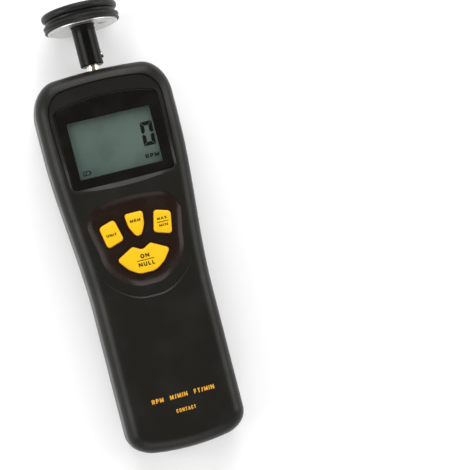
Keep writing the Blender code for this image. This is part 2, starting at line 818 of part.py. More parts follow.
def surround_cutter(shop):
    """The hollow round the window: a low step along the rim, then a slope down to the window."""
    fade_from = SURROUND.low
    fade_to = SIGHT_CENTRE + SIGHT_LENGTH / 2

    def step_height(place):
        share = min(1.0, max(0.0, (place - fade_from) / (fade_to - fade_from)))
        return BODY_DEPTH - RIM_STEP * share

    rings = [
        ring(WINDOW.points(), WINDOW_TOP_HEIGHT),
        ring(SURROUND.points(), step_height),
        ring(SURROUND.points(), BODY_DEPTH + PAST),
    ]
    return loft("surround_hollow", rings, shop.helpers)


def sight_corners(margin):
    """The display's sight, widened by a margin."""
    half_x = SIGHT_WIDTH / 2 + margin
    half_y = SIGHT_LENGTH / 2 + margin
    corners = ((half_x, half_y), (-half_x, half_y), (-half_x, -half_y), (half_x, -half_y))
    return rounded([(x, SIGHT_CENTRE + y, SIGHT_CORNER) for x, y in corners], steps=2)


def terrace_cutter(shop):
    """The shallow terrace below the keypad, deepest in the middle and running out up the sides."""
    wide = inset(KEYPAD.points(), -TERRACE_WIDTH)
    narrow = scaled(wide, Vector((0.0, KEYPAD_CENTRE)), 1 - TERRACE_SLOPE)
    run_out = KEYPAD_CENTRE - KEYPAD_BELOW / 2
    lowest = KEYPAD.low - TERRACE_WIDTH

    def floor_height(place):
        return BODY_DEPTH - TERRACE_DEPTH * min(1.0, (run_out - place) / (run_out - lowest))

    def lip_height(place):
        return floor_height(place) + TERRACE_DEPTH

    rings = [ring(narrow, floor_height), ring(wide, lip_height), ring(wide, BODY_DEPTH + 2 * PAST)]
    return loft("keypad_terrace", rings, shop.helpers)


def keypad_cutter(shop):
    """The dished hollow that the keys stand in."""
    outline = KEYPAD.points()
    centre = Vector((0.0, KEYPAD_CENTRE))
    rings = [
        ring(scaled(outline, centre, share), BODY_DEPTH - KEYPAD_SINK * depth)
        for share, depth in DISH_PROFILE
    ]
    rings.append(ring(inset(outline, -SINK), BODY_DEPTH + PAST))
    return loft("keypad_hollow", rings, shop.helpers)


def back_rings(outline, top):
    """Rings of the body's back, from the flat up the rounded edge to a height."""
    rings = [
        ring(inset(outline, SIDE_DRAFT + step_in), BACK_EDGE_RADIUS - step_up)
        for step_in, step_up in edge_rounding(BACK_EDGE_RADIUS)[::-1]
    ]
    rings.append(ring(inset(outline, SIDE_DRAFT), BACK_EDGE_RADIUS))
    rings.append(ring(outline, top))
    return rings


def rear_shell(shop):
    """The rear moulding: flat back, battery well with the door's bed, pillars for the screws."""
    outline = BODY.points()
    parting = SPINDLE_HEIGHT - SEAT_GAP / 2
    rings = back_rings(outline, parting - PARTING_BAND)
    rings.append(ring(outline, parting))
    shell = loft("rear_shell", rings, shop.parts, shop.shell, cap_high=False)
    hollow_out(shell)

    bed_half = DOOR_HALF + DOOR_TONGUE + SEAT_GAP + BED_BORDER
    bed_high = DOOR_LENGTH + DOOR_TONGUE + SEAT_GAP + BED_BORDER
    well_half = WELL_HALF + WELL_WALL
    well_high = WELL_HIGH + WELL_WALL
    floor = WALL - SINK
    join(
        shell,
        plate("lap_tongue", [inset(outline, WALL / 2 + SEAT_GAP), inset(outline, WALL)], parting - LAP_DEPTH,
              parting + LAP_DEPTH - SEAT_GAP, shop.helpers),
        block("door_bed", (-bed_half, BED_LOW, floor),
              (bed_half, bed_high, DOOR_THICKNESS + SEAT_GAP + BED_THICKNESS), shop.helpers),
        block("battery_well", (-well_half, floor, floor), (well_half, well_high, parting - SINK),
              shop.helpers),
        block("battery_roof", (-well_half, ROOF_LOW, parting - 2 * SINK),
              (well_half, well_high, WELL_CEILING_HEIGHT + WELL_WALL), shop.helpers),
        *[
            post(f"case_pillar_{index}", x, place, WALL / 2, parting, PILLAR_RADIUS, shop.helpers)
            for index, (x, place) in enumerate(both_sides(CASE_SCREW_PLACES))
        ],
        *[
            post(f"block_pillar_{index}", x, place, WALL / 2, EAR_TOP_HEIGHT - EAR_THICKNESS - SEAT_GAP,
                 EAR_PILLAR_RADIUS, shop.helpers)
            for index, (x, place) in enumerate(both_sides(EAR_PLACES))
        ],
    )
    cut(
        shell,
        block("well_hollow", (-WELL_HALF, DOOR_END_THICKNESS + SEAT_GAP, -PAST),
              (WELL_HALF, WELL_HIGH, WELL_CEILING_HEIGHT), shop.helpers),
        *door_space(shop, "door_space", SEAT_GAP),
        block("lead_notch", (-NOTCH_HALF, WELL_HIGH - PAST, WELL_CEILING_HEIGHT - NOTCH_DEPTH),
              (NOTCH_HALF, well_high + PAST, WELL_CEILING_HEIGHT - SINK), shop.helpers),
        spindle_hole(shop, "rear_spindle_hole"),
    )
    for index, (x, place) in enumerate(both_sides(CASE_SCREW_PLACES)):
        cut(
            shell,
            post(f"counterbore_{index}", x, place, -PAST, COUNTERBORE_DEPTH, CASE_HEAD_RADIUS + SEAT_GAP,
                 shop.helpers, segments=20),
            post(f"case_screw_way_{index}", x, place, COUNTERBORE_DEPTH - SINK, parting + PAST,
                 CASE_SCREW_RADIUS + SEAT_GAP, shop.helpers),
        )
    for index, (x, place) in enumerate(both_sides(EAR_PLACES)):
        cut(shell, post(f"block_pilot_{index}", x, place, EAR_TOP_HEIGHT - SMALL_SCREW_LENGTH - SEAT_GAP,
                        EAR_TOP_HEIGHT, SMALL_SCREW_RADIUS + SEAT_GAP, shop.helpers))
    return shaded(shell)


def door_space(shop, name, gap):
    """The room for the battery door, with a gap round it: its plate, end wall, side rails and catch."""
    half = DOOR_HALF + gap
    high = DOOR_LENGTH + gap
    rail_top = DOOR_THICKNESS - RAIL_SET + gap
    rail_low = DOOR_THICKNESS - RAIL_SET - RAIL_THICKNESS - gap
    rail_start = -PAST if gap else BACK_EDGE_RADIUS
    low = -PAST if gap else DOOR_SET
    return (
        block(name + "_plate", (-half, -PAST, low), (half, high, DOOR_THICKNESS + gap), shop.helpers),
        block(name + "_end", (-half, -PAST, low), (half, DOOR_END_THICKNESS + gap, DOOR_END_HEIGHT + gap),
              shop.helpers),
        block(name + "_rails", (-half - DOOR_TONGUE, rail_start, rail_low),
              (half + DOOR_TONGUE, high - DOOR_TONGUE, rail_top), shop.helpers),
        block(name + "_catch", (-CATCH_HALF - gap, DOOR_LENGTH - DOOR_TONGUE, rail_low),
              (CATCH_HALF + gap, high + DOOR_TONGUE, rail_top), shop.helpers),
    )


def battery_door(shop):
    """The sliding door: part of the body's back and lower end, with side rails, a catch and thumb ribs."""
    door = loft("battery_door", back_rings(BODY.points(), DOOR_END_HEIGHT + PAST), shop.parts, shop.shell)
    form, *more = door_space(shop, "door_form", 0.0)
    combine(door, [join(form, *more)], "INTERSECT")
    for index in range(DOOR_RIBS):
        place = DOOR_LENGTH - RIB_FROM_TOP - RIB_PITCH * index
        half = RIB_HALF - RIB_SHORTENING * index
        cut(door, block(f"thumb_rib_{index}", (-half, place, -PAST),
                        (half, place + RIB_PITCH / 2, DOOR_SET + RIB_DEPTH), shop.helpers))
    return door


def display(shop):
    """The dark window, the display under it, its holder and the two contact strips."""
    plate("display_window", [inset(WINDOW.points(), SEAT_GAP / 2)], WINDOW_TOP_HEIGHT - WINDOW_THICKNESS,
          WINDOW_TOP_HEIGHT, shop.parts, shop.window)
    half_x = SIGHT_WIDTH / 2 + DISPLAY_MARGIN
    half_y = SIGHT_LENGTH / 2 + DISPLAY_MARGIN
    low = DISPLAY_TOP_HEIGHT - DISPLAY_THICKNESS
    middle = DISPLAY_TOP_HEIGHT - DISPLAY_THICKNESS / 2
    glass = block("lcd_glass", (-half_x, SIGHT_CENTRE - half_y, low), (half_x, SIGHT_CENTRE + half_y, middle),
                  shop.parts, shop.glass)
    upper_x = half_x - GLASS_STEP
    upper_y = half_y - GLASS_STEP
    join(glass, block("upper_glass", (-upper_x, SIGHT_CENTRE - upper_y, middle - GLASS_STEP / 2),
                      (upper_x, SIGHT_CENTRE + upper_y, DISPLAY_TOP_HEIGHT), shop.helpers))

    foot = BOARD_TOP_HEIGHT + SEAT_GAP
    holder = plate("lcd_frame", [sight_corners(HOLDER_REACH), sight_corners(DISPLAY_MARGIN + SEAT_GAP)], foot,
                   DISPLAY_TOP_HEIGHT, shop.parts, shop.chip)
    strip_y = half_y - STRIP_WIDTH
    for side, name in ((-1, "contact_strip_lower"), (1, "contact_strip_upper")):
        centre = SIGHT_CENTRE + side * strip_y
        block(name, (-SIGHT_WIDTH / 2, centre - STRIP_WIDTH / 2, STRIP_TOP_HEIGHT - STRIP_THICKNESS),
              (SIGHT_WIDTH / 2, centre + STRIP_WIDTH / 2, STRIP_TOP_HEIGHT), shop.parts, shop.grey_rubber)
        rail = SIGHT_CENTRE + side * (strip_y - STRIP_WIDTH)
        rail_x = half_x + HOLDER_WALL
        join(holder, block(f"strip_rail_{side}", (-rail_x, rail - HOLDER_WALL / 2, foot + SEAT_GAP),
                           (rail_x, rail + HOLDER_WALL / 2, STRIP_TOP_HEIGHT - SEAT_GAP), shop.helpers))


def circle(x, place, radius, steps=12):
    """A round outline."""
    angles = [2 * math.pi * step / steps for step in range(steps)]
    return [Vector((x + radius * math.cos(angle), place + radius * math.sin(angle))) for angle in angles]


def circuit(shop):
    """The circuit board, what is soldered to it, and the screws that hold it."""
    head = BOARD_HEAD_WIDTH / 2
    grip = BOARD_GRIP_WIDTH / 2
    neck = SIGHT_CENTRE - SIGHT_LENGTH / 2 - HOLDER_REACH - SINK
    right = [(grip, BOARD_LOW), (grip, neck), (head, neck), (head, BOARD_HIGH)]
    corners = right + [(-x, place) for x, place in right[::-1]]
    outline = rounded([(x, place, BOARD_CORNER) for x, place in corners], steps=2)
    places = both_sides(POST_PLACES)
    holes = [circle(x, place, SMALL_SCREW_RADIUS + SEAT_GAP) for x, place in places]
    plate("main_board", [outline, *holes], BOARD_LOW_HEIGHT, BOARD_TOP_HEIGHT, shop.parts, shop.board)

    under = BOARD_LOW_HEIGHT - SEAT_GAP
    part_low = KEYPAD_CENTRE - CHIP_SIDE / 6
    block("controller_chip", (-CHIP_SIDE / 2, part_low, under - CHIP_HEIGHT),
          (CHIP_SIDE / 2, part_low + CHIP_SIDE, under), shop.parts, shop.chip)
    can = block("crystal", (CRYSTAL_X, part_low, under - CRYSTAL_HEIGHT),
                (CRYSTAL_X + CRYSTAL_WIDTH, part_low + CRYSTAL_LENGTH, under), shop.parts, shop.nickel)
    round_edges(can, CRYSTAL_WIDTH / 4)
    capacitor = post("capacitor", -CAPACITOR_X, KEYPAD_CENTRE + CAPACITOR_RADIUS, under - CAPACITOR_HEIGHT,
                     under, CAPACITOR_RADIUS, shop.parts, segments=16)
    capacitor.data.materials.append(shop.aluminium)
    shaded(capacitor)
    for index, (x, place) in enumerate(places):
        small_screw(shop, f"board_screw_{index + 1}", x, place, under)


def small_screw(shop, name, x, place, seat, upright=True):
    """One of the short screws inside."""
    return screw(shop, name, (x, place, seat), (SMALL_SCREW_RADIUS, SMALL_SCREW_LENGTH),
                 (SMALL_HEAD_RADIUS, SMALL_HEAD_HEIGHT), upright)


def screw(shop, name, seat, shank, head, upright=True):
    """A cross-head screw whose head bears on a seat, given as X, place and height.

    Shank and head are each a radius and a length. Upright, the screw's head is below its shank.
    """
    x, place, height = seat
    radius, length = shank
    head_radius, head_height = head
    profile = [
        (0.0, length),
        (radius, length - radius),
        (radius, 0.0),
        (head_radius, 0.0),
        (head_radius, -head_height / 2),
        (head_radius * 0.6, -head_height),
        (0.0, -head_height),
    ]
    made = turned(name, profile, shop.parts, shop.steel, closed=False, steps=10)
    made.location = (x, at(place), height)
    narrow = head_radius * 0.22
    wide = head_radius * 0.7
    low = height - head_height * 1.2
    high = height - head_height * 0.55
    bars = [
        block(f"{name}_cross_{index}", (x - half_x, place - half_y, low), (x + half_x, place + half_y, high),
              shop.helpers)
        for index, (half_x, half_y) in enumerate(((wide, narrow), (narrow, wide)))
    ]
    if not upright:
        made.rotation_euler.x = math.pi
        for bar in bars:
            bar.location.z = 2 * height - bar.location.z
    return cut(made, *bars)


def keys(shop):
    """The four keys, each with the flange that keeps it in its hole, and the rubber mat under them."""
    for name, outline in key_outlines().items():
        cap = plate(name, [outline], KEY_LOW_HEIGHT + KEY_FLANGE_THICKNESS / 2, KEY_TOP_HEIGHT, shop.parts,
                    shop.key)
        round_edges(cap, KEY_EDGE)
        join(cap, plate(name + "_flange", [inset(outline, -KEY_FLANGE)], KEY_LOW_HEIGHT,
                        KEY_LOW_HEIGHT + KEY_FLANGE_THICKNESS, shop.helpers))
        shaded(cap)
    sheet = scaled(KEYPAD.points(), Vector((0.0, KEYPAD_CENTRE)), MAT_SHARE)
    mat = plate("keypad_mat", [sheet], BOARD_TOP_HEIGHT + SEAT_GAP, MAT_TOP_HEIGHT, shop.parts,
                shop.grey_rubber)
    for index, (x, rise) in enumerate(DOME_PLACES):
        join(mat, post(f"dome_{index}", x, KEYPAD_CENTRE + rise, MAT_TOP_HEIGHT - SINK, DOME_TOP_HEIGHT,
                       DOME_RADIUS, shop.helpers, top_radius=DOME_TOP_RADIUS))
    return mat


def rod(name, x, height, low, high, radius, collection, segments=12):
    """A round bar along the body, between two places."""
    half = (high - low) / 2
    made = post(name, x, low + half, -half, half, radius, collection, segments=segments)
    made.rotation_euler.x = math.pi / 2
    made.location.z = height
    return made


def power(shop):
    """The block battery, its snap connector and the two leads to the board."""
    middle = BATTERY_UNDER_HEIGHT + BATTERY_THICKNESS / 2
    cell = block("battery", (-BATTERY_WIDTH / 2, BATTERY_LOW, BATTERY_UNDER_HEIGHT),
                 (BATTERY_WIDTH / 2, BATTERY_HIGH, BATTERY_UNDER_HEIGHT + BATTERY_THICKNESS), shop.parts,
                 shop.battery)
    round_edges(cell, BATTERY_EDGE)
    snap = block("battery_snap", (-SNAP_WIDTH / 2, SNAP_LOW, middle - SNAP_HEIGHT / 2),
                 (SNAP_WIDTH / 2, SNAP_HIGH, middle + SNAP_HEIGHT / 2), shop.parts, shop.chip)
    top = BATTERY_HIGH + TERMINAL_HEIGHT
    for side, radius, segments in ((-1, STUD_RADIUS, 12), (1, SOCKET_RADIUS, 6)):
        x = side * TERMINAL_SPACING / 2
        join(cell, rod(f"terminal_{side}", x, middle, BATTERY_HIGH - SINK, top, radius, shop.helpers,
                       segments))
        cut(snap, rod(f"terminal_room_{side}", x, middle, BATTERY_HIGH, top + SEAT_GAP,
                      radius + 2 * SEAT_GAP, shop.helpers, segments))
    for side, name, colour in ((-1, "battery_lead_red", shop.red), (1, "battery_lead_black", shop.rubber)):
        start = Vector((side * LEAD_START_X, SNAP_HIGH + SEAT_GAP, middle + LEAD_START_RISE))
        stop = Vector((side * LEAD_STOP_X, BOARD_LOW + LEAD_STOP_X / 2, BOARD_LOW_HEIGHT - SEAT_GAP))
        out = Vector((0.0, (stop.y - start.y) * LEAD_SWEEP, 0.0))
        down = Vector((0.0, 0.0, (start.z - stop.z) * LEAD_SWEEP))
        lead(name, interpolate_bezier(start, start + out, stop + down, stop, 12), shop.parts, colour)


def lead(name, points, collection, colour):
    """A round wire through points, each as X, place along the body and height."""
    curve = bpy.data.curves.new(name, "CURVE")
    curve.dimensions = "3D"
    curve.bevel_depth = LEAD_RADIUS
    curve.bevel_resolution = 2
    curve.use_fill_caps = True
    spline = curve.splines.new("POLY")
    spline.points.add(len(points) - 1)
    for knot, point in zip(spline.points, points):
        knot.co = (point.x, at(point.y), point.z, 1.0)
    return welded(bpy.data.objects.new(name + "_route", curve), name, collection, colour)


def spindle_axis(shop):
    """The empty on the spindle's axis at the body's upper end: its Z points out to the wheel."""
    axis = bpy.data.objects.new("spindle_axis", None)
    axis.location = (0.0, at(BODY_LENGTH), SPINDLE_HEIGHT)
    axis.rotation_euler.x = -math.pi / 2
    shop.parts.objects.link(axis)
    return axis


def bearings(shop, axis):
    """The two ball bearings and the block that carries them, screwed to the rear shell's pillars."""
    barrel = [(0.0, BLOCK_OUT), (BLOCK_RADIUS, BLOCK_OUT), (BLOCK_RADIUS, BLOCK_IN), (0.0, BLOCK_IN)]
    body = turned("bearing_block", barrel, shop.parts, shop.aluminium, axis, closed=False)
    middle = BODY_LENGTH + (BLOCK_OUT + BLOCK_IN) / 2
    join(body, block("bearing_ears", (-EAR_HALF, middle - EAR_LENGTH / 2, EAR_TOP_HEIGHT - EAR_THICKNESS),
                     (EAR_HALF, middle + EAR_LENGTH / 2, EAR_TOP_HEIGHT), shop.helpers))
    pocket = BEARING_RADIUS + SEAT_GAP
    web = BEARING_RADIUS - BEARING_LIP
    outer_seat = BLOCK_OUT - BEARING_WIDTH - SEAT_GAP
    inner_seat = BLOCK_IN + BEARING_WIDTH + SEAT_GAP
    bore = [
        (0.0, BLOCK_OUT + PAST),
        (pocket, BLOCK_OUT + PAST),
        (pocket, outer_seat),
        (web, outer_seat),
        (web, inner_seat),
        (pocket, inner_seat),
        (pocket, BLOCK_IN - PAST),
        (0.0, BLOCK_IN - PAST),
    ]
    cut(body, turned("bearing_bore", bore, shop.helpers, parent=axis, closed=False))
    for index, (x, place) in enumerate(both_sides(EAR_PLACES)):
        cut(body, post(f"ear_hole_{index}", x, place, EAR_TOP_HEIGHT - EAR_THICKNESS - PAST,
                       EAR_TOP_HEIGHT + PAST, SMALL_SCREW_RADIUS + SEAT_GAP, shop.helpers))
        small_screw(shop, f"block_screw_{index + 1}", x, place, EAR_TOP_HEIGHT + SEAT_GAP, upright=False)
    bearing(shop, "front_bearing", BLOCK_OUT, axis)
    bearing(shop, "rear_bearing", BLOCK_IN + BEARING_WIDTH, axis)


def bearing(shop, name, top, axis):
    """A shielded ball bearing, its outer end at a distance out of the body."""
    low = top - BEARING_WIDTH
    inner = JOURNAL_RADIUS + RUN_GAP
    race = (BEARING_RADIUS - inner) / 4
    shield = (inner + race, BEARING_RADIUS - race)
    profile = [
        (BEARING_RADIUS, top),
        (BEARING_RADIUS, low),
        (shield[1], low),
        (shield[1], low + SHIELD_DEPTH),
        (shield[0], low + SHIELD_DEPTH),
        (shield[0], low),
        (inner, low),
        (inner, top),
        (shield[0], top),
        (shield[0], top - SHIELD_DEPTH),
        (shield[1], top - SHIELD_DEPTH),
        (shield[1], top),
    ]
    return turned(name, profile, shop.parts, shop.steel, axis, steps=16)


def spindle(shop, axis):
    """The spindle, its clip behind the rear bearing and the slotted disc that the sensor reads."""
    shoulder = BLOCK_OUT + RUN_GAP
    clip_top = BLOCK_IN - RUN_GAP
    clip_low = clip_top - CLIP_THICKNESS
    groove = JOURNAL_RADIUS - CLIP_GROOVE
    tail = ENCODER_LOW - SPINDLE_CHAMFER
    profile = [
        (0.0, SPINDLE_OUT),
        (SPINDLE_RADIUS - SPINDLE_CHAMFER, SPINDLE_OUT),
        (SPINDLE_RADIUS, SPINDLE_OUT - SPINDLE_CHAMFER),
        (SPINDLE_RADIUS, shoulder),
        (JOURNAL_RADIUS, shoulder),
        (JOURNAL_RADIUS, clip_top + RUN_GAP / 2),
        (groove, clip_top + RUN_GAP / 2),
        (groove, clip_low - RUN_GAP / 2),
        (JOURNAL_RADIUS, clip_low - RUN_GAP / 2),
        (JOURNAL_RADIUS, tail),
        (JOURNAL_RADIUS - SPINDLE_CHAMFER, tail - SPINDLE_CHAMFER),
        (0.0, tail - SPINDLE_CHAMFER),
    ]
    turned("spindle", profile, shop.parts, shop.nickel, axis, closed=False, steps=20)

    clip_bore = groove + RUN_GAP
    clip_profile = [
        (CLIP_RADIUS, clip_top),
        (CLIP_RADIUS, clip_low),
        (clip_bore, clip_low),
        (clip_bore, clip_top),
    ]
    clip = turned("retaining_clip", clip_profile, shop.parts, shop.steel, axis, steps=20)
    mouth = (CLIP_RADIUS * 2, groove * 1.7, CLIP_THICKNESS * 3)
    cut(clip, axis_block(shop, "clip_mouth", mouth, CLIP_RADIUS + groove / 2, clip_low, 90.0, axis))
    encoder_disc(shop, axis)


def encoder_disc(shop, axis):
    """The slotted disc on the spindle's inner end."""
    seat = JOURNAL_RADIUS + RUN_GAP
    low = ENCODER_LOW + ENCODER_RIM
    high = low + ENCODER_THICKNESS
    profile = [
        (ENCODER_HUB_RADIUS, ENCODER_TOP),
        (ENCODER_HUB_RADIUS, high),
        (ENCODER_RADIUS, high),
        (ENCODER_RADIUS, low),
        (ENCODER_HUB_RADIUS, low),
        (ENCODER_HUB_RADIUS, ENCODER_LOW),
        (seat, ENCODER_LOW),
        (seat, ENCODER_TOP),
    ]
    disc = turned("encoder_disc", profile, shop.parts, shop.chip, axis, steps=16)
    middle = (ENCODER_RADIUS + ENCODER_HUB_RADIUS) / 2
    size = ((ENCODER_RADIUS - ENCODER_HUB_RADIUS) / 2, math.pi * middle / ENCODER_SLOTS, PAST)
    for index in range(ENCODER_SLOTS):
        angle = 360.0 * index / ENCODER_SLOTS
        cut(disc, axis_block(shop, f"disc_slot_{index}", size, middle, low, angle, axis))
    return disc


def axis_block(shop, name, size, radius, distance, angle, axis):
    """A box cutter beside the spindle's axis, turned to an angle in degrees about it."""
    obj = put(box_object(name, size), shop.helpers)
    obj.parent = axis
    turn = math.radians(angle)
    obj.location = (radius * math.cos(turn), radius * math.sin(turn), distance)
    obj.rotation_euler.z = turn
    return obj


def sensor(shop):
    """The light gate on the board's underside, with the slotted disc's rim between its arms."""
    disc_low = BODY_LENGTH + ENCODER_LOW + ENCODER_RIM
    disc_high = disc_low + ENCODER_THICKNESS
    half = SENSOR_WIDTH / 2
    arm_half = half - WELD
    arm_low = SPINDLE_HEIGHT + ENCODER_HUB_RADIUS + SENSOR_CLEARANCE
    top = BOARD_LOW_HEIGHT - SEAT_GAP
    outer = disc_high + SENSOR_CLEARANCE + SENSOR_ARM
    inner = disc_low - SENSOR_CLEARANCE - SENSOR_ARM
    gate = block("optical_sensor", (-half, inner, SPINDLE_HEIGHT + ENCODER_RADIUS + SEAT_GAP),
                 (half, outer, top), shop.parts, shop.chip)
    return join(
        gate,
        block("outer_arm", (-arm_half, disc_high + SENSOR_CLEARANCE, arm_low),
              (arm_half, outer - WELD, top - SEAT_GAP), shop.helpers),
        block("inner_arm", (-arm_half, inner + WELD, arm_low),
              (arm_half, disc_low - SENSOR_CLEARANCE, top - SEAT_GAP), shop.helpers),
    )


def wheel(shop, axis):
    """The sleeve on the spindle with its set screw, the turned disc and the twin-beaded tyre."""
    disc_front = WHEEL_OUT + WHEEL_WIDTH - DISC_SETBACK
    flange_low = disc_front - FLANGE_THICKNESS
    bore = SPINDLE_RADIUS + SEAT_GAP
    sleeve_profile = [
        (0.0, disc_front),
        (FLANGE_RADIUS - SPINDLE_CHAMFER, disc_front),
        (FLANGE_RADIUS, disc_front - SPINDLE_CHAMFER),
        (FLANGE_RADIUS, flange_low),
        (HUB_RADIUS, flange_low),
        (HUB_RADIUS, HUB_GAP + SPINDLE_CHAMFER),
        (HUB_RADIUS - SPINDLE_CHAMFER, HUB_GAP),
        (bore, HUB_GAP),
        (bore, SPINDLE_OUT + SEAT_GAP),
        (0.0, SPINDLE_OUT + SEAT_GAP),
    ]
    sleeve = turned("hub_sleeve", sleeve_profile, shop.parts, shop.sleeve, axis, closed=False)
    set_screw(shop, sleeve, axis)

    lip_top = WHEEL_OUT + LIP_HEIGHT
    disc_bore = HUB_RADIUS + SEAT_GAP
    flange_room = FLANGE_RADIUS + SEAT_GAP
    dish_floor = WHEEL_OUT + DISC_WEB
    rim_inside = TYRE_SEAT_RADIUS - RIM_THICKNESS
    disc_profile = [
        (TYRE_SEAT_RADIUS, disc_front),
        (TYRE_SEAT_RADIUS, lip_top),
        (DISC_FLANGE_RADIUS, lip_top),
        (DISC_FLANGE_RADIUS, WHEEL_OUT + LIP_HEIGHT / 2),
        (BOSS_RADIUS + BOSS_STAND / 2, WHEEL_OUT - BOSS_STAND / 4),
        (BOSS_RADIUS, WHEEL_OUT - BOSS_STAND),
        (disc_bore, WHEEL_OUT - BOSS_STAND),
        (disc_bore, flange_low - SEAT_GAP),
        (flange_room, flange_low - SEAT_GAP),
        (flange_room, dish_floor),
        (rim_inside - SEAT_GAP, dish_floor),
        (rim_inside, disc_front),
    ]
    disc = turned("wheel_disc", disc_profile, shop.parts, shop.aluminium, axis, steps=36)
    under = WHEEL_OUT - BOSS_STAND
    hole = post("disc_hole", 0.0, 0.0, under - PAST, under + DISC_HOLE_DEPTH, DISC_HOLE_RADIUS, shop.helpers)
    hole.parent = axis
    hole.location = (DISC_HOLE_OUT, 0.0, under + (DISC_HOLE_DEPTH - PAST) / 2)
    cut(disc, hole)

    seat = TYRE_SEAT_RADIUS + SEAT_GAP
    lip_seat = DISC_FLANGE_RADIUS + SEAT_GAP
    front = WHEEL_OUT + WHEEL_WIDTH
    tyre_profile = [(TYRE_RADIUS - under, front - WHEEL_WIDTH * share) for under, share in TREAD_PROFILE]
    tyre_profile += [
        (lip_seat, WHEEL_OUT),
        (lip_seat, lip_top + SEAT_GAP),
        (seat, lip_top + SEAT_GAP),
        (seat, front - DISC_SETBACK / 2),
        (seat + DISC_SETBACK / 2, front),
    ]
    turned("tyre", tyre_profile, shop.parts, shop.rubber, axis, steps=36)


def set_screw(shop, sleeve, axis):
    """The slotted screw that holds the sleeve on the spindle, standing out on the right-hand side."""
    low = SPINDLE_RADIUS + SEAT_GAP
    high = HUB_RADIUS + SET_SCREW_STAND
    cut(sleeve, side_post("set_screw_hole", SPINDLE_RADIUS - SINK, high, SET_SCREW_RADIUS + SEAT_GAP,
                          shop.helpers, axis))
    made = side_post("set_screw", low, high, SET_SCREW_RADIUS, shop.parts, axis)
    made.data.materials.append(shop.steel)
    round_edges(made, SET_SCREW_RADIUS / 6, segments=1)
    slot = (SET_SCREW_STAND, SET_SCREW_RADIUS * 2.4, SET_SCREW_RADIUS / 3)
    cut(made, axis_block(shop, "set_screw_slot", slot, high, SET_SCREW_OUT, 0.0, axis))
    return shaded(made)


def side_post(name, low, high, radius, collection, axis):
    """A cylinder that stands out sideways from the spindle's axis, between two radii."""
    made = post(name, 0.0, 0.0, low, high, radius, collection)
    made.parent = axis
    made.rotation_euler.y = math.pi / 2
    made.location = ((low + high) / 2, 0.0, SET_SCREW_OUT)
    return made


def case_screws(shop):
    """The four screws that hold the shells together, deep in the back's counterbores."""
    for index, (x, place) in enumerate(both_sides(CASE_SCREW_PLACES)):
        screw(shop, f"case_screw_{index + 1}", (x, place, COUNTERBORE_DEPTH - SEAT_GAP),
              (CASE_SCREW_RADIUS, CASE_SCREW_LENGTH), (CASE_HEAD_RADIUS, CASE_HEAD_HEIGHT))


def main():
    """Makes the instrument."""
    clear_scene()
    shop = Shop()
    axis = spindle_axis(shop)
    front_shell(shop)
    rear_shell(shop)
    battery_door(shop)
    display(shop)
    circuit(shop)
    keys(shop)
    power(shop)
    bearings(shop, axis)
    spindle(shop, axis)
    sensor(shop)
    wheel(shop, axis)
    case_screws(shop)


main()
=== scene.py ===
"""The looks of a hand-held contact tachometer, built round its solid frame.

The instrument lies on its back on a white table. +Z points out of its face, +Y towards the
measuring wheel and +X to its right. Lengths are in metres, and a place along the body is its
distance from the body's lower end, which at() turns into Y.
"""

import logging
import math
from collections.abc import Callable, Iterator, Sequence
from contextlib import contextmanager
from dataclasses import dataclass, field
from enum import Enum

import bmesh
import bpy
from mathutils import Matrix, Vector
from mathutils.geometry import interpolate_bezier


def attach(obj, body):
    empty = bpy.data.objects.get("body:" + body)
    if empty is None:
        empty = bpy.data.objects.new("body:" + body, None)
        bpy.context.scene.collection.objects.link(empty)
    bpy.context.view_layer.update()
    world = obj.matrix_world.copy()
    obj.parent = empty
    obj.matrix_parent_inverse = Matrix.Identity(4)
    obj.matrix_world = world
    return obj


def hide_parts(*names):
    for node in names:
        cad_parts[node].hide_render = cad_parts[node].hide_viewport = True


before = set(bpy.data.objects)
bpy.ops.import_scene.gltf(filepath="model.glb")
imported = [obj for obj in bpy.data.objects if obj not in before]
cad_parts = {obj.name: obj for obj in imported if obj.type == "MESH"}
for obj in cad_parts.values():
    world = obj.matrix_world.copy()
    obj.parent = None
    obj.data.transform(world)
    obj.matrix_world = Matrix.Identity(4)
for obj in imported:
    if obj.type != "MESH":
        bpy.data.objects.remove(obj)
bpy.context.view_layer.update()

LOG = logging.getLogger("tachometer")

Colour = tuple[float, float, float]
Point = tuple[float, float]
Corner = tuple[float, float, float]
Value = float | Colour | bpy.types.NodeSocket

OVERALL_LENGTH = 0.2147
SEAT_GAP = 0.0003
PAST = 0.002
SINK = 0.0005
MERGE = 1e-6
LETTER_DEPTH = 0.00003


class Slot(str, Enum):
    """The record's material slots."""

    MOULDING = "black_moulding"
    WINDOW = "dark_window"
    GLASS = "display_glass"
    KEY = "yellow_key"
    RUBBER = "black_rubber"
    GREY_RUBBER = "grey_rubber"
    BOARD = "circuit_board"
    RESIN = "chip_resin"
    STEEL = "steel"
    NICKEL = "nickel_plate"
    ALUMINIUM = "turned_aluminium"
    SLEEVE = "black_sleeve"
    JACKET = "battery_jacket"
    RED = "red_insulation"


class Operation(str, Enum):
    """What a solid does to the piece that it meets."""

    CUT = "DIFFERENCE"
    JOIN = "UNION"
    KEEP = "INTERSECT"


class Body(str, Enum):
    """The frame's bodies that new pieces ride on."""

    CASE = "case"
    WHEEL = "wheel_and_spindle"
    UNIT = "unit_key"
    MEMORY = "mem_key"
    EXTREMES = "max_min_key"
    POWER = "on_null_key"
    DOOR = "door"


def srgb(red: int, green: int, blue: int) -> Colour:
    """The linear colour of an 8-bit screen colour.

    Args:
        red: Red, 0 to 255.
        green: Green, 0 to 255.
        blue: Blue, 0 to 255.

    Returns:
        The colour as three linear shares.
    """
    shares = [value / 255 for value in (red, green, blue)]
    return tuple(s / 12.92 if s <= 0.04045 else ((s + 0.055) / 1.055) ** 2.4 for s in shares)


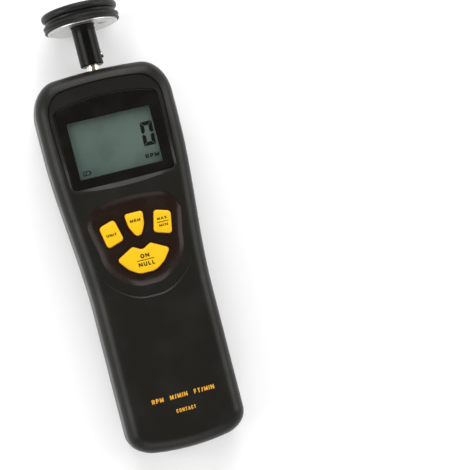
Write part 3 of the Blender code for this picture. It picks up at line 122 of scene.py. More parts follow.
def at(distance: float) -> float:
    """Y of a place along the body, given as its distance from the body's lower end."""
    return distance - OVERALL_LENGTH / 2


# Wiring of materials


class Wiring:
    """A node tree that is being filled."""

    def __init__(self, tree: bpy.types.NodeTree) -> None:
        """Keeps the tree."""
        self.tree = tree

    def put(self, socket: bpy.types.NodeSocket, value: Value) -> None:
        """Sets a socket, or links it where the value is another node's output.

        Args:
            socket: The input.
            value: A number, a colour or an output.
        """
        if isinstance(value, bpy.types.NodeSocket):
            self.tree.links.new(value, socket)
        elif isinstance(value, tuple) and len(value) < len(getattr(socket, "default_value", value)):
            socket.default_value = (*value, 1.0)
        else:
            socket.default_value = value

    def add(self, kind: str, inputs: dict[str, Value] | None = None, **settings: object) -> bpy.types.Node:
        """Adds a node.

        Args:
            kind: The node's type.
            inputs: Values or outputs for its inputs, by name.
            **settings: The node's own settings.

        Returns:
            The node.
        """
        node = self.tree.nodes.new(kind)
        for name, value in settings.items():
            setattr(node, name, value)
        for name, value in (inputs or {}).items():
            self.put(node.inputs[name], value)
        return node

    def sum(self, operation: str, *values: Value) -> bpy.types.NodeSocket:
        """The result of a Math node.

        Args:
            operation: The node's operation.
            *values: Its one to three inputs.

        Returns:
            The output.
        """
        node = self.add("ShaderNodeMath", operation=operation)
        for socket, value in zip(node.inputs, values):
            self.put(socket, value)
        return node.outputs[0]

    def blend(self, share: Value, first: Value, second: Value) -> bpy.types.NodeSocket:
        """A colour between two colours.

        Args:
            share: How much of the second.
            first: The first colour.
            second: The second colour.

        Returns:
            The blended colour.
        """
        node = self.add("ShaderNodeMix", data_type="RGBA")
        for index, value in ((0, share), (6, first), (7, second)):
            self.put(node.inputs[index], value)
        return node.outputs[2]

    def scale(self, value: Value, low: float, high: float, to_low: float = 0.0, to_high: float = 1.0,
              smooth: bool = False) -> bpy.types.NodeSocket:
        """A value moved from one range to another, and held inside it.

        Args:
            value: The value.
            low: Where the range starts.
            high: Where it ends.
            to_low: What its start becomes.
            to_high: What its end becomes.
            smooth: Whether it eases in and out.

        Returns:
            The new value.
        """
        node = self.add(
            "ShaderNodeMapRange",
            {"Value": value, "From Min": low, "From Max": high, "To Min": to_low, "To Max": to_high},
            interpolation_type="SMOOTHSTEP" if smooth else "LINEAR",
        )
        return node.outputs["Result"]

    def place(self) -> bpy.types.NodeSocket:
        """The place on the object, in the frame's metres."""
        return self.add("ShaderNodeTexCoord").outputs["Object"]

    def axes(self, vector: bpy.types.NodeSocket) -> tuple[bpy.types.NodeSocket, ...]:
        """The three numbers of a vector."""
        node = self.add("ShaderNodeSeparateXYZ", {"Vector": vector})
        return tuple(node.outputs)

    def noise(self, vector: Value, size: float, detail: float = 3.0, roughness: float = 0.55) -> bpy.types.NodeSocket:
        """Even noise, with patches of a size.

        Args:
            vector: Where it is read.
            size: How far apart its patches are, in metres.
            detail: How many finer layers it has.
            roughness: How strong those layers are.

        Returns:
            A value round one half.
        """
        node = self.add("ShaderNodeTexNoise",
                        {"Vector": vector, "Scale": 1 / size, "Detail": detail, "Roughness": roughness})
        return node.outputs[0]

    def group(self, effect: "Effect", **inputs: Value) -> bpy.types.Node:
        """Places a shared effect.

        Args:
            effect: Which one.
            **inputs: Its inputs, with _ for a space.

        Returns:
            The group's node.
        """
        node = self.add("ShaderNodeGroup", node_tree=shared_effect(effect))
        for name, value in inputs.items():
            self.put(node.inputs[name.replace("_", " ")], value)
        return node


class Effect(Enum):
    """The shader effects that several materials share."""

    GRAIN = "moulded grain"
    HANDLING = "handling marks"
    TURNING = "turned rings"
    SPECKS = "fine dust"


def new_group(effect: Effect, inputs: dict[str, tuple[str, float]], outputs: Sequence[str]) -> tuple:
    """An empty node group with its sockets.

    Args:
        effect: The group's effect.
        inputs: Each input's socket type and first value, by name.
        outputs: The names of its number outputs.

    Returns:
        The wiring, the input node and the output node.
    """
    tree = bpy.data.node_groups.new(effect.value, "ShaderNodeTree")
    for name, (kind, value) in inputs.items():
        socket = tree.interface.new_socket(name, in_out="INPUT", socket_type=kind)
        if kind == "NodeSocketFloat":
            socket.default_value = value
    for name in outputs:
        tree.interface.new_socket(name, in_out="OUTPUT", socket_type="NodeSocketFloat")
    return Wiring(tree), tree.nodes.new("NodeGroupInput"), tree.nodes.new("NodeGroupOutput")


def shared_effect(effect: Effect) -> bpy.types.NodeTree:
    """The node group of an effect, made when it is first asked for.

    Args:
        effect: Which one.

    Returns:
        The node group.
    """
    found = bpy.data.node_groups.get(effect.value)
    if found is None:
        makers = {Effect.GRAIN: grain_effect, Effect.HANDLING: handling_effect,
                  Effect.TURNING: turning_effect, Effect.SPECKS: specks_effect}
        found = makers[effect]()
    return found


def grain_effect() -> bpy.types.NodeTree:
    """Spark-eroded mould grain: a height, and a mottle for colour and gloss."""
    inputs = {"Vector": ("NodeSocketVector", 0.0), "Scale": ("NodeSocketFloat", 2500.0)}
    wiring, source, out = new_group(Effect.GRAIN, inputs, ("Height", "Mottle"))
    vector, scale = source.outputs["Vector"], source.outputs["Scale"]
    fine = wiring.add("ShaderNodeTexNoise", {"Vector": vector, "Scale": scale, "Detail": 2.0, "Roughness": 0.6})
    pits = wiring.add("ShaderNodeTexVoronoi", {"Vector": vector, "Scale": wiring.sum("MULTIPLY", scale, 0.7)},
                      feature="SMOOTH_F1")
    broad = wiring.add("ShaderNodeTexNoise", {"Vector": vector, "Scale": wiring.sum("MULTIPLY", scale, 0.02),
                                              "Detail": 4.0, "Roughness": 0.65})
    height = wiring.sum("MULTIPLY_ADD", pits.outputs["Distance"], 0.6, wiring.sum("MULTIPLY", fine.outputs[0], 0.5))
    wiring.put(out.inputs["Height"], height)
    mottle = wiring.sum("MULTIPLY_ADD", fine.outputs[0], 0.35, wiring.sum("MULTIPLY", broad.outputs[0], 0.65))
    wiring.put(out.inputs["Mottle"], wiring.scale(mottle, 0.3, 0.7))
    return wiring.tree


def handling_effect() -> bpy.types.NodeTree:
    """Marks of use: broad polished patches, and thin scuffs that run mostly across the body."""
    inputs = {"Vector": ("NodeSocketVector", 0.0), "Size": ("NodeSocketFloat", 0.02)}
    wiring, source, out = new_group(Effect.HANDLING, inputs, ("Rub", "Scuff"))
    vector, size = source.outputs["Vector"], source.outputs["Size"]
    scale = wiring.sum("DIVIDE", 1.0, size)
    patches = wiring.add("ShaderNodeTexNoise", {"Vector": vector, "Scale": scale, "Detail": 3.0})
    wiring.put(out.inputs["Rub"], wiring.scale(patches.outputs[0], 0.42, 0.68, smooth=True))
    stretched = wiring.add("ShaderNodeMapping", {"Vector": vector})
    stretched.inputs["Scale"].default_value = (3.0, 26.0, 12.0)
    stretched.inputs["Rotation"].default_value = (0.0, 0.0, 0.5)
    lines = wiring.add("ShaderNodeTexNoise", {"Vector": stretched.outputs[0], "Scale": scale, "Detail": 5.0,
                                              "Roughness": 0.7})
    wiring.put(out.inputs["Scuff"], wiring.scale(lines.outputs[0], 0.66, 0.78))
    return wiring.tree


def turning_effect() -> bpy.types.NodeTree:
    """Tool rings round the spindle's axis, on faces and on round sides alike."""
    inputs = {"Vector": ("NodeSocketVector", 0.0), "Axis Height": ("NodeSocketFloat", 0.019),
              "Pitch": ("NodeSocketFloat", 0.0002)}
    wiring, source, out = new_group(Effect.TURNING, inputs, ("Height", "Shade"))
    x, y, z = wiring.axes(source.outputs["Vector"])
    rise = wiring.sum("SUBTRACT", z, source.outputs["Axis Height"])
    radius = wiring.sum("SQRT", wiring.sum("ADD", wiring.sum("MULTIPLY", x, x), wiring.sum("MULTIPLY", rise, rise)))
    scale = wiring.sum("DIVIDE", 1.0, source.outputs["Pitch"])
    reading = wiring.sum("ADD", radius, wiring.sum("MULTIPLY", y, 0.83))
    rings = wiring.add("ShaderNodeTexNoise", {"W": reading, "Scale": scale, "Detail": 3.0, "Roughness": 0.6},
                       noise_dimensions="1D")
    bands = wiring.add("ShaderNodeTexNoise", {"W": reading, "Scale": wiring.sum("MULTIPLY", scale, 0.12),
                                              "Detail": 2.0}, noise_dimensions="1D")
    wiring.put(out.inputs["Height"], rings.outputs[0])
    wiring.put(out.inputs["Shade"], wiring.sum("MULTIPLY_ADD", rings.outputs[0], 0.5,
                                               wiring.sum("MULTIPLY", bands.outputs[0], 0.5)))
    return wiring.tree


def specks_effect() -> bpy.types.NodeTree:
    """Sparse fine dust, and the soft film that lies between it."""
    inputs = {"Vector": ("NodeSocketVector", 0.0), "Density": ("NodeSocketFloat", 0.5)}
    wiring, source, out = new_group(Effect.SPECKS, inputs, ("Speck", "Film"))
    vector = source.outputs["Vector"]
    cells = wiring.add("ShaderNodeTexVoronoi", {"Vector": vector, "Scale": 900.0, "Randomness": 1.0})
    size = wiring.sum("MULTIPLY", source.outputs["Density"], 0.24)
    wiring.put(out.inputs["Speck"], wiring.sum("LESS_THAN", cells.outputs["Distance"], size))
    film = wiring.noise(vector, 0.012, detail=5.0)
    wiring.put(out.inputs["Film"], wiring.scale(film, 0.4, 0.7, smooth=True))
    return wiring.tree


# Finishes


@dataclass(frozen=True)
class Finish:
    """A surface: its colour, its gloss, and the pattern that its kind adds."""

    name: str
    colour: Colour
    roughness: float
    metallic: float = 0.0
    specular: float = 0.5
    coat: float = 0.0

    def material(self) -> bpy.types.Material:
        """The material, made when it is first asked for."""
        found = bpy.data.materials.get(self.name)
        if found is not None:
            return found
        made = bpy.data.materials.new(self.name)
        made.use_nodes = True
        shader = made.node_tree.nodes["Principled BSDF"]
        wiring = Wiring(made.node_tree)
        for name, value in (("Base Color", self.colour), ("Roughness", self.roughness),
                            ("Metallic", self.metallic), ("Specular IOR Level", self.specular),
                            ("Coat Weight", self.coat)):
            wiring.put(shader.inputs[name], value)
        shader.inputs["Coat Roughness"].default_value = 0.1
        self.pattern(wiring, shader)
        return made

    def pattern(self, wiring: Wiring, shader: bpy.types.Node) -> None:
        """Adds the pattern of this kind of surface.

        Args:
            wiring: The material's wiring.
            shader: Its shader.
        """
        raise NotImplementedError

    def bump(self, wiring: Wiring, shader: bpy.types.Node, height: bpy.types.NodeSocket, strength: float,
             depth: float) -> None:
        """Lets a height tilt the surface.

        Args:
            wiring: The material's wiring.
            shader: Its shader.
            height: The height, round 0 to 1.
            strength: How much of it shows.
            depth: How deep it is, in metres.
        """
        node = wiring.add("ShaderNodeBump", {"Height": height, "Strength": strength, "Distance": depth})
        wiring.put(shader.inputs["Normal"], node.outputs[0])

    def dress(self, obj: bpy.types.Object) -> bpy.types.Object:
        """Gives a piece this finish all over.

        Args:
            obj: The piece.

        Returns:
            The piece.
        """
        obj.data.materials.clear()
        obj.data.materials.append(self.material())
        return obj


@dataclass(frozen=True)
class MouldedPlastic(Finish):
    """Black plastic from a grained mould, rubbed a little paler where hands hold it."""

    grain_scale: float = 2600.0
    grain_strength: float = 0.25
    rub_colour: Colour = (0.022, 0.0215, 0.0195)
    rub_share: float = 0.35

    def pattern(self, wiring: Wiring, shader: bpy.types.Node) -> None:
        """Adds grain, mottle, scuffs and dust."""
        place = wiring.place()
        grain = wiring.group(Effect.GRAIN, Vector=place, Scale=self.grain_scale)
        handling = wiring.group(Effect.HANDLING, Vector=place, Size=0.018)
        dust = wiring.group(Effect.SPECKS, Vector=place, Density=0.35)
        mottled = wiring.blend(wiring.scale(grain.outputs["Mottle"], 0.0, 1.0, 0.0, 0.22), self.colour,
                               tuple(c * 0.55 for c in self.colour))
        rub = wiring.sum("MULTIPLY", handling.outputs["Rub"], self.rub_share)
        rubbed = wiring.blend(rub, mottled, self.rub_colour)
        scuffed = wiring.blend(wiring.sum("MULTIPLY", handling.outputs["Scuff"], 0.22), rubbed, (0.05, 0.049, 0.045))
        dusty = wiring.blend(wiring.sum("MULTIPLY", dust.outputs["Speck"], 0.12), scuffed, (0.3, 0.29, 0.27))
        wiring.put(shader.inputs["Base Color"], dusty)
        gloss = wiring.scale(grain.outputs["Mottle"], 0.0, 1.0, self.roughness - 0.05, self.roughness + 0.07)
        gloss = wiring.sum("MULTIPLY_ADD", handling.outputs["Rub"], -0.08, gloss)
        wiring.put(shader.inputs["Roughness"], gloss)
        self.bump(wiring, shader, grain.outputs["Height"], self.grain_strength, 0.00004)


@dataclass(frozen=True)
class PolishedPlastic(Finish):
    """Plastic from a polished part of the mould: smooth, with a faint ripple and finger film."""

    film_colour: Colour = (0.018, 0.0135, 0.011)

    def pattern(self, wiring: Wiring, shader: bpy.types.Node) -> None:
        """Adds the film, dust and the ripple."""
        place = wiring.place()
        dust = wiring.group(Effect.SPECKS, Vector=place, Density=0.4)
        grain = wiring.group(Effect.GRAIN, Vector=place, Scale=1500.0)
        filmed = wiring.blend(wiring.sum("MULTIPLY", dust.outputs["Film"], 0.5), self.colour, self.film_colour)
        dusty = wiring.blend(wiring.sum("MULTIPLY", dust.outputs["Speck"], 0.1), filmed, (0.3, 0.28, 0.26))
        wiring.put(shader.inputs["Base Color"], dusty)
        gloss = wiring.scale(dust.outputs["Film"], 0.0, 1.0, self.roughness, self.roughness + 0.12)
        wiring.put(shader.inputs["Roughness"], gloss)
        self.bump(wiring, shader, grain.outputs["Height"], 0.06, 0.00004)


@dataclass(frozen=True)
class SmokedWindow(Finish):
    """A clear pane printed dark behind, all but the sight, with a faint smear on its front."""

    half_width: float = 0.02
    half_length: float = 0.01365
    centre: float = 0.0
    haze: float = 0.10

    def pattern(self, wiring: Wiring, shader: bpy.types.Node) -> None:
        """Adds the clear sight and the smears."""
        place = wiring.place()
        x, y, _ = wiring.axes(place)
        over_x = wiring.sum("SUBTRACT", wiring.sum("ABSOLUTE", x), self.half_width)
        from_centre = wiring.sum("ABSOLUTE", wiring.sum("SUBTRACT", y, at(self.centre)))
        over = wiring.sum("MAXIMUM", over_x, wiring.sum("SUBTRACT", from_centre, self.half_length))
        printed = wiring.scale(over, -0.00022, 0.00004, smooth=True)
        smear = wiring.group(Effect.HANDLING, Vector=place, Size=0.012)
        dust = wiring.group(Effect.SPECKS, Vector=place, Density=0.22)
        marks = wiring.sum("MAXIMUM", wiring.sum("MULTIPLY", smear.outputs["Rub"], 0.05),
                           wiring.sum("MULTIPLY", dust.outputs["Speck"], 0.25))
        clear = wiring.sum("ADD", marks, self.haze)
        wiring.put(shader.inputs["Alpha"], wiring.sum("MAXIMUM", printed, clear))
        tinted = wiring.blend(marks, self.colour, (0.06, 0.055, 0.05))
        wiring.put(shader.inputs["Base Color"], tinted)
        gloss = wiring.scale(smear.outputs["Rub"], 0.0, 1.0, self.roughness, self.roughness + 0.07)
        wiring.put(shader.inputs["Roughness"], gloss)


@dataclass(frozen=True)
class DisplayGlass(Finish):
    """The grey-green field of a reflective display, with painted shade darkening it towards its lower left."""

    # the colour of the painted shade at the field's lower left
    shade: Colour = (0.072, 0.112, 0.101)
    half_width: float = 0.02
    half_length: float = 0.01365
    centre: float = 0.0

    def pattern(self, wiring: Wiring, shader: bpy.types.Node) -> None:
        """Adds the painted shade towards the lower left and the reflector's fine grain."""
        place = wiring.place()
        x, y, _ = wiring.axes(place)
        across = wiring.scale(x, -self.half_width, self.half_width)
        along = wiring.scale(y, at(self.centre) - self.half_length, at(self.centre) + self.half_length)
        fall = wiring.sum("ADD", wiring.sum("MULTIPLY", across, 0.55), wiring.sum("MULTIPLY", along, 0.45))
        # painted shade: up to 0.75 of the shade colour, strongest at the lower left
        shaded = wiring.scale(fall, 0.0, 0.55, 0.75, 0.0, smooth=True)
        grain = wiring.group(Effect.GRAIN, Vector=place, Scale=6000.0)
        field_colour = wiring.blend(shaded, self.colour, self.shade)
        silver = wiring.sum("MULTIPLY", grain.outputs["Mottle"], 0.06)
        wiring.put(shader.inputs["Base Color"], wiring.blend(silver, field_colour, (0.2, 0.24, 0.21)))
        gloss = wiring.scale(grain.outputs["Mottle"], 0.0, 1.0, self.roughness, self.roughness + 0.1)
        wiring.put(shader.inputs["Roughness"], gloss)


@dataclass(frozen=True)
class KeyPlastic(Finish):
    """Bright key plastic, with painted shade deepening its colour down its sides, and faintly rubbed on top."""

    # the colour of the painted shade down the key's sides
    side: Colour = (0.48, 0.15, 0.004)
    top_height: float = 0.0356
    edge: float = 0.00055
    crown: float = 0.0002

    def pattern(self, wiring: Wiring, shader: bpy.types.Node) -> None:
        """Adds the painted shade down the sides, the mottle and the rub."""
        place = wiring.place()
        _, _, z = wiring.axes(place)
        # painted shade: 1 down the sides, easing to 0 just below the crowned top, blended towards the side colour
        down = wiring.scale(z, self.top_height - self.edge, self.top_height - self.crown, 1.0, 0.0, smooth=True)
        grain = wiring.group(Effect.GRAIN, Vector=place, Scale=3000.0)
        handling = wiring.group(Effect.HANDLING, Vector=place, Size=0.007)
        mottled = wiring.blend(wiring.sum("MULTIPLY", grain.outputs["Mottle"], 0.10), self.colour,
                               tuple(c * 0.8 for c in self.colour))
        rubbed = wiring.blend(wiring.sum("MULTIPLY", handling.outputs["Rub"], 0.10), mottled, (0.74, 0.47, 0.025))
        wiring.put(shader.inputs["Base Color"], wiring.blend(down, rubbed, self.side))
        gloss = wiring.scale(handling.outputs["Rub"], 0.0, 1.0, self.roughness + 0.05, self.roughness - 0.06)
        wiring.put(shader.inputs["Roughness"], gloss)
        self.bump(wiring, shader, grain.outputs["Height"], 0.12, 0.00003)


@dataclass(frozen=True)
class Rubber(Finish):
    """Moulded rubber: matt and finely grained, shinier and greyer where it runs on the work."""

    axis_height: float = 0.019
    tread: float = 0.0184
    worn: Colour = (0.05, 0.048, 0.045)

    def pattern(self, wiring: Wiring, shader: bpy.types.Node) -> None:
        """Adds the grain, the bloom and the worn tread."""
        place = wiring.place()
        x, _, z = wiring.axes(place)
        rise = wiring.sum("SUBTRACT", z, self.axis_height)
        radius = wiring.sum("SQRT", wiring.sum("ADD", wiring.sum("MULTIPLY", x, x),
                                               wiring.sum("MULTIPLY", rise, rise)))
        tread = wiring.scale(radius, self.tread - 0.0009, self.tread, smooth=True)
        grain = wiring.group(Effect.GRAIN, Vector=place, Scale=3800.0)
        dust = wiring.group(Effect.SPECKS, Vector=place, Density=0.6)
        bloom = wiring.blend(wiring.sum("MULTIPLY", dust.outputs["Film"], 0.35), self.colour, self.worn)
        worn = wiring.blend(wiring.sum("MULTIPLY", tread, wiring.scale(grain.outputs["Mottle"], 0.0, 1.0, 0.2, 0.7)),
                            bloom, self.worn)
        wiring.put(shader.inputs["Base Color"],
                   wiring.blend(wiring.sum("MULTIPLY", dust.outputs["Speck"], 0.2), worn, (0.3, 0.29, 0.27)))
        gloss = wiring.scale(grain.outputs["Mottle"], 0.0, 1.0, self.roughness - 0.08, self.roughness + 0.1)
        wiring.put(shader.inputs["Roughness"], gloss)
        self.bump(wiring, shader, grain.outputs["Height"], 0.35, 0.00003)


@dataclass(frozen=True)
class TurnedMetal(Finish):
    """Metal from the lathe, with fine tool rings, bands of tone and a few dull marks."""

    pitch: float = 0.00016
    dull: Colour = (0.35, 0.34, 0.33)
    ring_strength: float = 0.25

    def pattern(self, wiring: Wiring, shader: bpy.types.Node) -> None:
        """Adds the rings, the bands and the marks."""
        place = wiring.place()
        rings = wiring.group(Effect.TURNING, Vector=place, Pitch=self.pitch)
        marks = wiring.group(Effect.HANDLING, Vector=place, Size=0.008)
        banded = wiring.blend(wiring.scale(rings.outputs["Shade"], 0.3, 0.7, 0.0, 0.35), self.colour, self.dull)
        marked = wiring.blend(wiring.sum("MULTIPLY", marks.outputs["Rub"], 0.15), banded, self.dull)
        wiring.put(shader.inputs["Base Color"], marked)
        gloss = wiring.scale(rings.outputs["Shade"], 0.3, 0.7, self.roughness - 0.05, self.roughness + 0.1)
        wiring.put(shader.inputs["Roughness"], wiring.sum("MULTIPLY_ADD", marks.outputs["Rub"], 0.08, gloss))
        self.bump(wiring, shader, rings.outputs["Height"], self.ring_strength, 0.00001)


@dataclass(frozen=True)
class StampedMetal(Finish):
    """Plated or cold-headed metal: even, with a fine tumble texture and a little tarnish."""

    tarnish: Colour = (0.22, 0.20, 0.17)

    def pattern(self, wiring: Wiring, shader: bpy.types.Node) -> None:
        """Adds the tumble texture and the tarnish."""
        place = wiring.place()
        grain = wiring.group(Effect.GRAIN, Vector=place, Scale=5000.0)
        marks = wiring.group(Effect.HANDLING, Vector=place, Size=0.004)
        stained = wiring.blend(wiring.sum("MULTIPLY", marks.outputs["Rub"], 0.3), self.colour, self.tarnish)
        wiring.put(shader.inputs["Base Color"], stained)
        gloss = wiring.scale(grain.outputs["Mottle"], 0.0, 1.0, self.roughness - 0.04, self.roughness + 0.12)
        wiring.put(shader.inputs["Roughness"], gloss)
        self.bump(wiring, shader, grain.outputs["Height"], 0.1, 0.00001)


@dataclass(frozen=True)
class BoardLaminate(Finish):
    """Green solder mask over tracks, with bare tinned pads."""

    track: Colour = (0.015, 0.22, 0.07)
    pad: Colour = (0.6, 0.58, 0.52)

    def pattern(self, wiring: Wiring, shader: bpy.types.Node) -> None:
        """Adds the tracks, the pads and the glass weave."""
        place = wiring.place()
        turned = wiring.add("ShaderNodeMapping", {"Vector": place})
        turned.inputs["Scale"].default_value = (1.0, 1.0, 0.02)
        tracks = wiring.add("ShaderNodeTexBrick", {"Vector": turned.outputs[0], "Scale": 90.0, "Mortar Size": 0.03,
                                                   "Mortar Smooth": 0.2, "Bias": 0.1})
        pads = wiring.add("ShaderNodeTexVoronoi", {"Vector": turned.outputs[0], "Scale": 260.0, "Randomness": 0.55})
        weave = wiring.add("ShaderNodeTexChecker", {"Vector": place, "Scale": 1800.0})
        on_pad = wiring.sum("LESS_THAN", pads.outputs["Distance"], 0.16)
        masked = wiring.blend(tracks.outputs["Fac"], self.colour, self.track)
        woven = wiring.blend(wiring.sum("MULTIPLY", weave.outputs["Fac"], 0.08), masked, (0.05, 0.3, 0.12))
        wiring.put(shader.inputs["Base Color"], wiring.blend(on_pad, woven, self.pad))
        wiring.put(shader.inputs["Metallic"], on_pad)
        wiring.put(shader.inputs["Roughness"], wiring.scale(on_pad, 0.0, 1.0, self.roughness, 0.28))
        self.bump(wiring, shader, tracks.outputs["Fac"], 0.3, 0.00003)


@dataclass(frozen=True)
class BatteryJacket(Finish):
    """A wrapped metal can: dark sleeve, a copper band at the terminal end, bare crimped ends."""

    band: Colour = (0.55, 0.24, 0.08)
    can: Colour = (0.62, 0.61, 0.58)
    low: float = 0.004
    high: float = 0.0525

    def pattern(self, wiring: Wiring, shader: bpy.types.Node) -> None:
        """Adds the band, the bare ends and the sleeve's shrink wrinkles."""
        place = wiring.place()
        _, y, _ = wiring.axes(place)
        in_band = wiring.sum("GREATER_THAN", y, at(self.high - 0.0125))
        seam = wiring.sum("COMPARE", y, at(self.high - 0.0131), 0.0003)
        top = wiring.sum("GREATER_THAN", y, at(self.high - 0.0009))
        bare = wiring.sum("MAXIMUM", top, wiring.sum("LESS_THAN", y, at(self.low + 0.0009)))
        grain = wiring.group(Effect.GRAIN, Vector=place, Scale=1800.0)
        marks = wiring.group(Effect.HANDLING, Vector=place, Size=0.01)
        sleeve = wiring.blend(in_band, self.colour, self.band)
        lined = wiring.blend(seam, sleeve, (0.7, 0.66, 0.5))
        scuffed = wiring.blend(wiring.sum("MULTIPLY", marks.outputs["Scuff"], 0.3), lined, (0.3, 0.29, 0.28))
        wiring.put(shader.inputs["Base Color"], wiring.blend(bare, scuffed, self.can))
        wiring.put(shader.inputs["Metallic"], bare)
        gloss = wiring.scale(grain.outputs["Mottle"], 0.0, 1.0, self.roughness - 0.05, self.roughness + 0.1)
        wiring.put(shader.inputs["Roughness"], gloss)
        self.bump(wiring, shader, grain.outputs["Height"], 0.1, 0.00003)


@dataclass(frozen=True)
class Ink(Finish):
    """Pad-printed ink: slightly uneven in cover and sheen."""

    thin: Colour = (0.2, 0.2, 0.2)
    thin_share: float = 0.18

    def pattern(self, wiring: Wiring, shader: bpy.types.Node) -> None:
        """Adds the uneven cover."""
        place = wiring.place()
        cover = wiring.noise(place, 0.0006, detail=4.0, roughness=0.7)
        thin = wiring.scale(cover, 0.45, 0.75, 0.0, self.thin_share)
        wiring.put(shader.inputs["Base Color"], wiring.blend(thin, self.colour, self.thin))
        gloss = wiring.scale(cover, 0.3, 0.7, self.roughness - 0.05, self.roughness + 0.1)
        wiring.put(shader.inputs["Roughness"], gloss)


SIGHT_CENTRE = 0.14705
CASE_FINISH = MouldedPlastic("black_moulding_grained", srgb(25, 24, 20), 0.35, specular=0.19)
RECESS_FINISH = PolishedPlastic("recess_polished", srgb(32, 21, 14), 0.22, specular=0.15)
WINDOW_FINISH = SmokedWindow("dark_window_printed", srgb(16, 14, 11), 0.05, centre=SIGHT_CENTRE, specular=0.17)
GLASS_FINISH = DisplayGlass("display_field", srgb(97, 114, 106), 0.3, specular=0.3, centre=SIGHT_CENTRE)
SEGMENT_FINISH = Ink("display_segment", srgb(8, 12, 11), 0.45, thin=(0.01, 0.014, 0.013), specular=0.2)
KEY_FINISH = KeyPlastic("yellow_key_moulded", srgb(227, 181, 9), 0.38, specular=0.35)
LEGEND_FINISH = Ink("legend_brown", srgb(34, 14, 5), 0.5, thin=(0.2, 0.1, 0.01), specular=0.15, thin_share=0.08)
PRINT_FINISH = Ink("print_gold", srgb(210, 150, 49), 0.4, thin=(0.34, 0.2, 0.055), specular=0.3)
RUBBER_FINISH = Rubber("black_rubber_moulded", srgb(14, 13, 12), 0.36, specular=0.22, worn=(0.014, 0.0135, 0.0125))
GREY_RUBBER_FINISH = Rubber("grey_rubber_moulded", (0.22, 0.22, 0.21), 0.65, worn=(0.3, 0.3, 0.29))
LEAD_BLACK_FINISH = Rubber("black_insulation", (0.02, 0.02, 0.02), 0.45)
RED_FINISH = Rubber("red_insulation_drawn", (0.55, 0.02, 0.02), 0.42, worn=(0.65, 0.06, 0.05))
BOARD_FINISH = BoardLaminate("circuit_board_masked", (0.012, 0.15, 0.05), 0.35)
RESIN_FINISH = MouldedPlastic("chip_resin_moulded", (0.02, 0.02, 0.021), 0.55, grain_scale=5000.0)
STEEL_FINISH = StampedMetal("steel_headed", (0.5, 0.49, 0.47), 0.3, metallic=1.0)
NICKEL_FINISH = TurnedMetal("nickel_plate_ground", (0.86, 0.80, 0.70), 0.2, metallic=1.0, pitch=0.00008,
                            dull=(0.5, 0.46, 0.4), ring_strength=0.1)
ALUMINIUM_FINISH = TurnedMetal("aluminium_turned", (0.83, 0.825, 0.81), 0.3, metallic=1.0, dull=(0.42, 0.415, 0.4))
SLEEVE_FINISH = TurnedMetal("sleeve_blackened", srgb(16, 15, 13), 0.16, specular=0.13, dull=srgb(22, 21, 19),
                            pitch=0.0003, ring_strength=0.04)
JACKET_FINISH = BatteryJacket("battery_jacket_wrapped", (0.03, 0.031, 0.036), 0.35)


# Shaping


def rest() -> None:
    """Leaves edit mode and deselects everything."""
    if bpy.context.mode != "OBJECT":
        bpy.ops.object.mode_set(mode="OBJECT")
    bpy.ops.object.select_all(action="DESELECT")


def take(obj: bpy.types.Object) -> bpy.types.Object:
    """Makes an object the only selected one, and the active one.

    Args:
        obj: The object.

    Returns:
        The object.
    """
    rest()
    obj.select_set(True)
    bpy.context.view_layer.objects.active = obj
    return obj


@contextmanager
def editing(obj: bpy.types.Object) -> Iterator[None]:
    """Edit mode on one object, with nothing selected at its start."""
    take(obj)
    bpy.ops.object.mode_set(mode="EDIT")
    bpy.ops.mesh.select_mode(type="VERT")
    bpy.ops.mesh.select_all(action="DESELECT")
    yield
    bpy.ops.object.mode_set(mode="OBJECT")


def name_it(name: str) -> bpy.types.Object:
    """Names the object that an operator has just made, and its mesh."""
    obj = bpy.context.object
    obj.name = name
    obj.data.name = name
    return obj


def lay(obj: bpy.types.Object, points: Sequence[Vector]) -> None:
    """Moves the selected ring of an edited mesh onto points, each vertex to that of its own number.

    Args:
        obj: The object in edit mode.
        points: The ring's new points.
    """
    form = bmesh.from_edit_mesh(obj.data)
    around = form.verts.layers.int["around"]
    for vert in form.verts:
        if vert.select:
            vert.co = points[vert[around]]
    bmesh.update_edit_mesh(obj.data)


def number_ring(obj: bpy.types.Object) -> None:
    """Numbers the vertices of an edited mesh in their order."""
    form = bmesh.from_edit_mesh(obj.data)
    around = form.verts.layers.int.new("around")
    for index, vert in enumerate(form.verts):
        vert[around] = index
    bmesh.update_edit_mesh(obj.data)


def pick_open_edges() -> None:
    """Selects the edges that bound the edited mesh's open ends."""
    bpy.ops.mesh.select_mode(type="EDGE")
    bpy.ops.mesh.select_all(action="DESELECT")
    bpy.ops.mesh.select_non_manifold(extend=False, use_wire=False, use_boundary=True, use_multi_face=False,
                                     use_non_contiguous=False, use_verts=False)


def skin(name: str, rings: Sequence[Sequence[Vector]], looped: bool = False) -> bpy.types.Object:
    """A closed skin drawn through rings of equally many points.

    Args:
        name: The piece's name.
        rings: The rings, each going round the same way.
        looped: Whether the last ring runs back into the first, as in a frame.

    Returns:
        The piece.
    """
    rest()
    bpy.ops.mesh.primitive_circle_add(vertices=len(rings[0]), radius=0.01, fill_type="NOTHING")
    obj = name_it(name)
    with editing(obj):
        number_ring(obj)
        bpy.ops.mesh.select_all(action="SELECT")
        lay(obj, rings[0])
        for points in rings[1:]:
            bpy.ops.mesh.extrude_edges_move()
            lay(obj, points)
        if looped:
            pick_open_edges()
            bpy.ops.mesh.bridge_edge_loops()
        else:
            bpy.ops.mesh.edge_face_add()
            pick_open_edges()
            bpy.ops.mesh.edge_face_add()
        bpy.ops.mesh.select_all(action="SELECT")
        bpy.ops.mesh.normals_make_consistent(inside=False)
    return obj


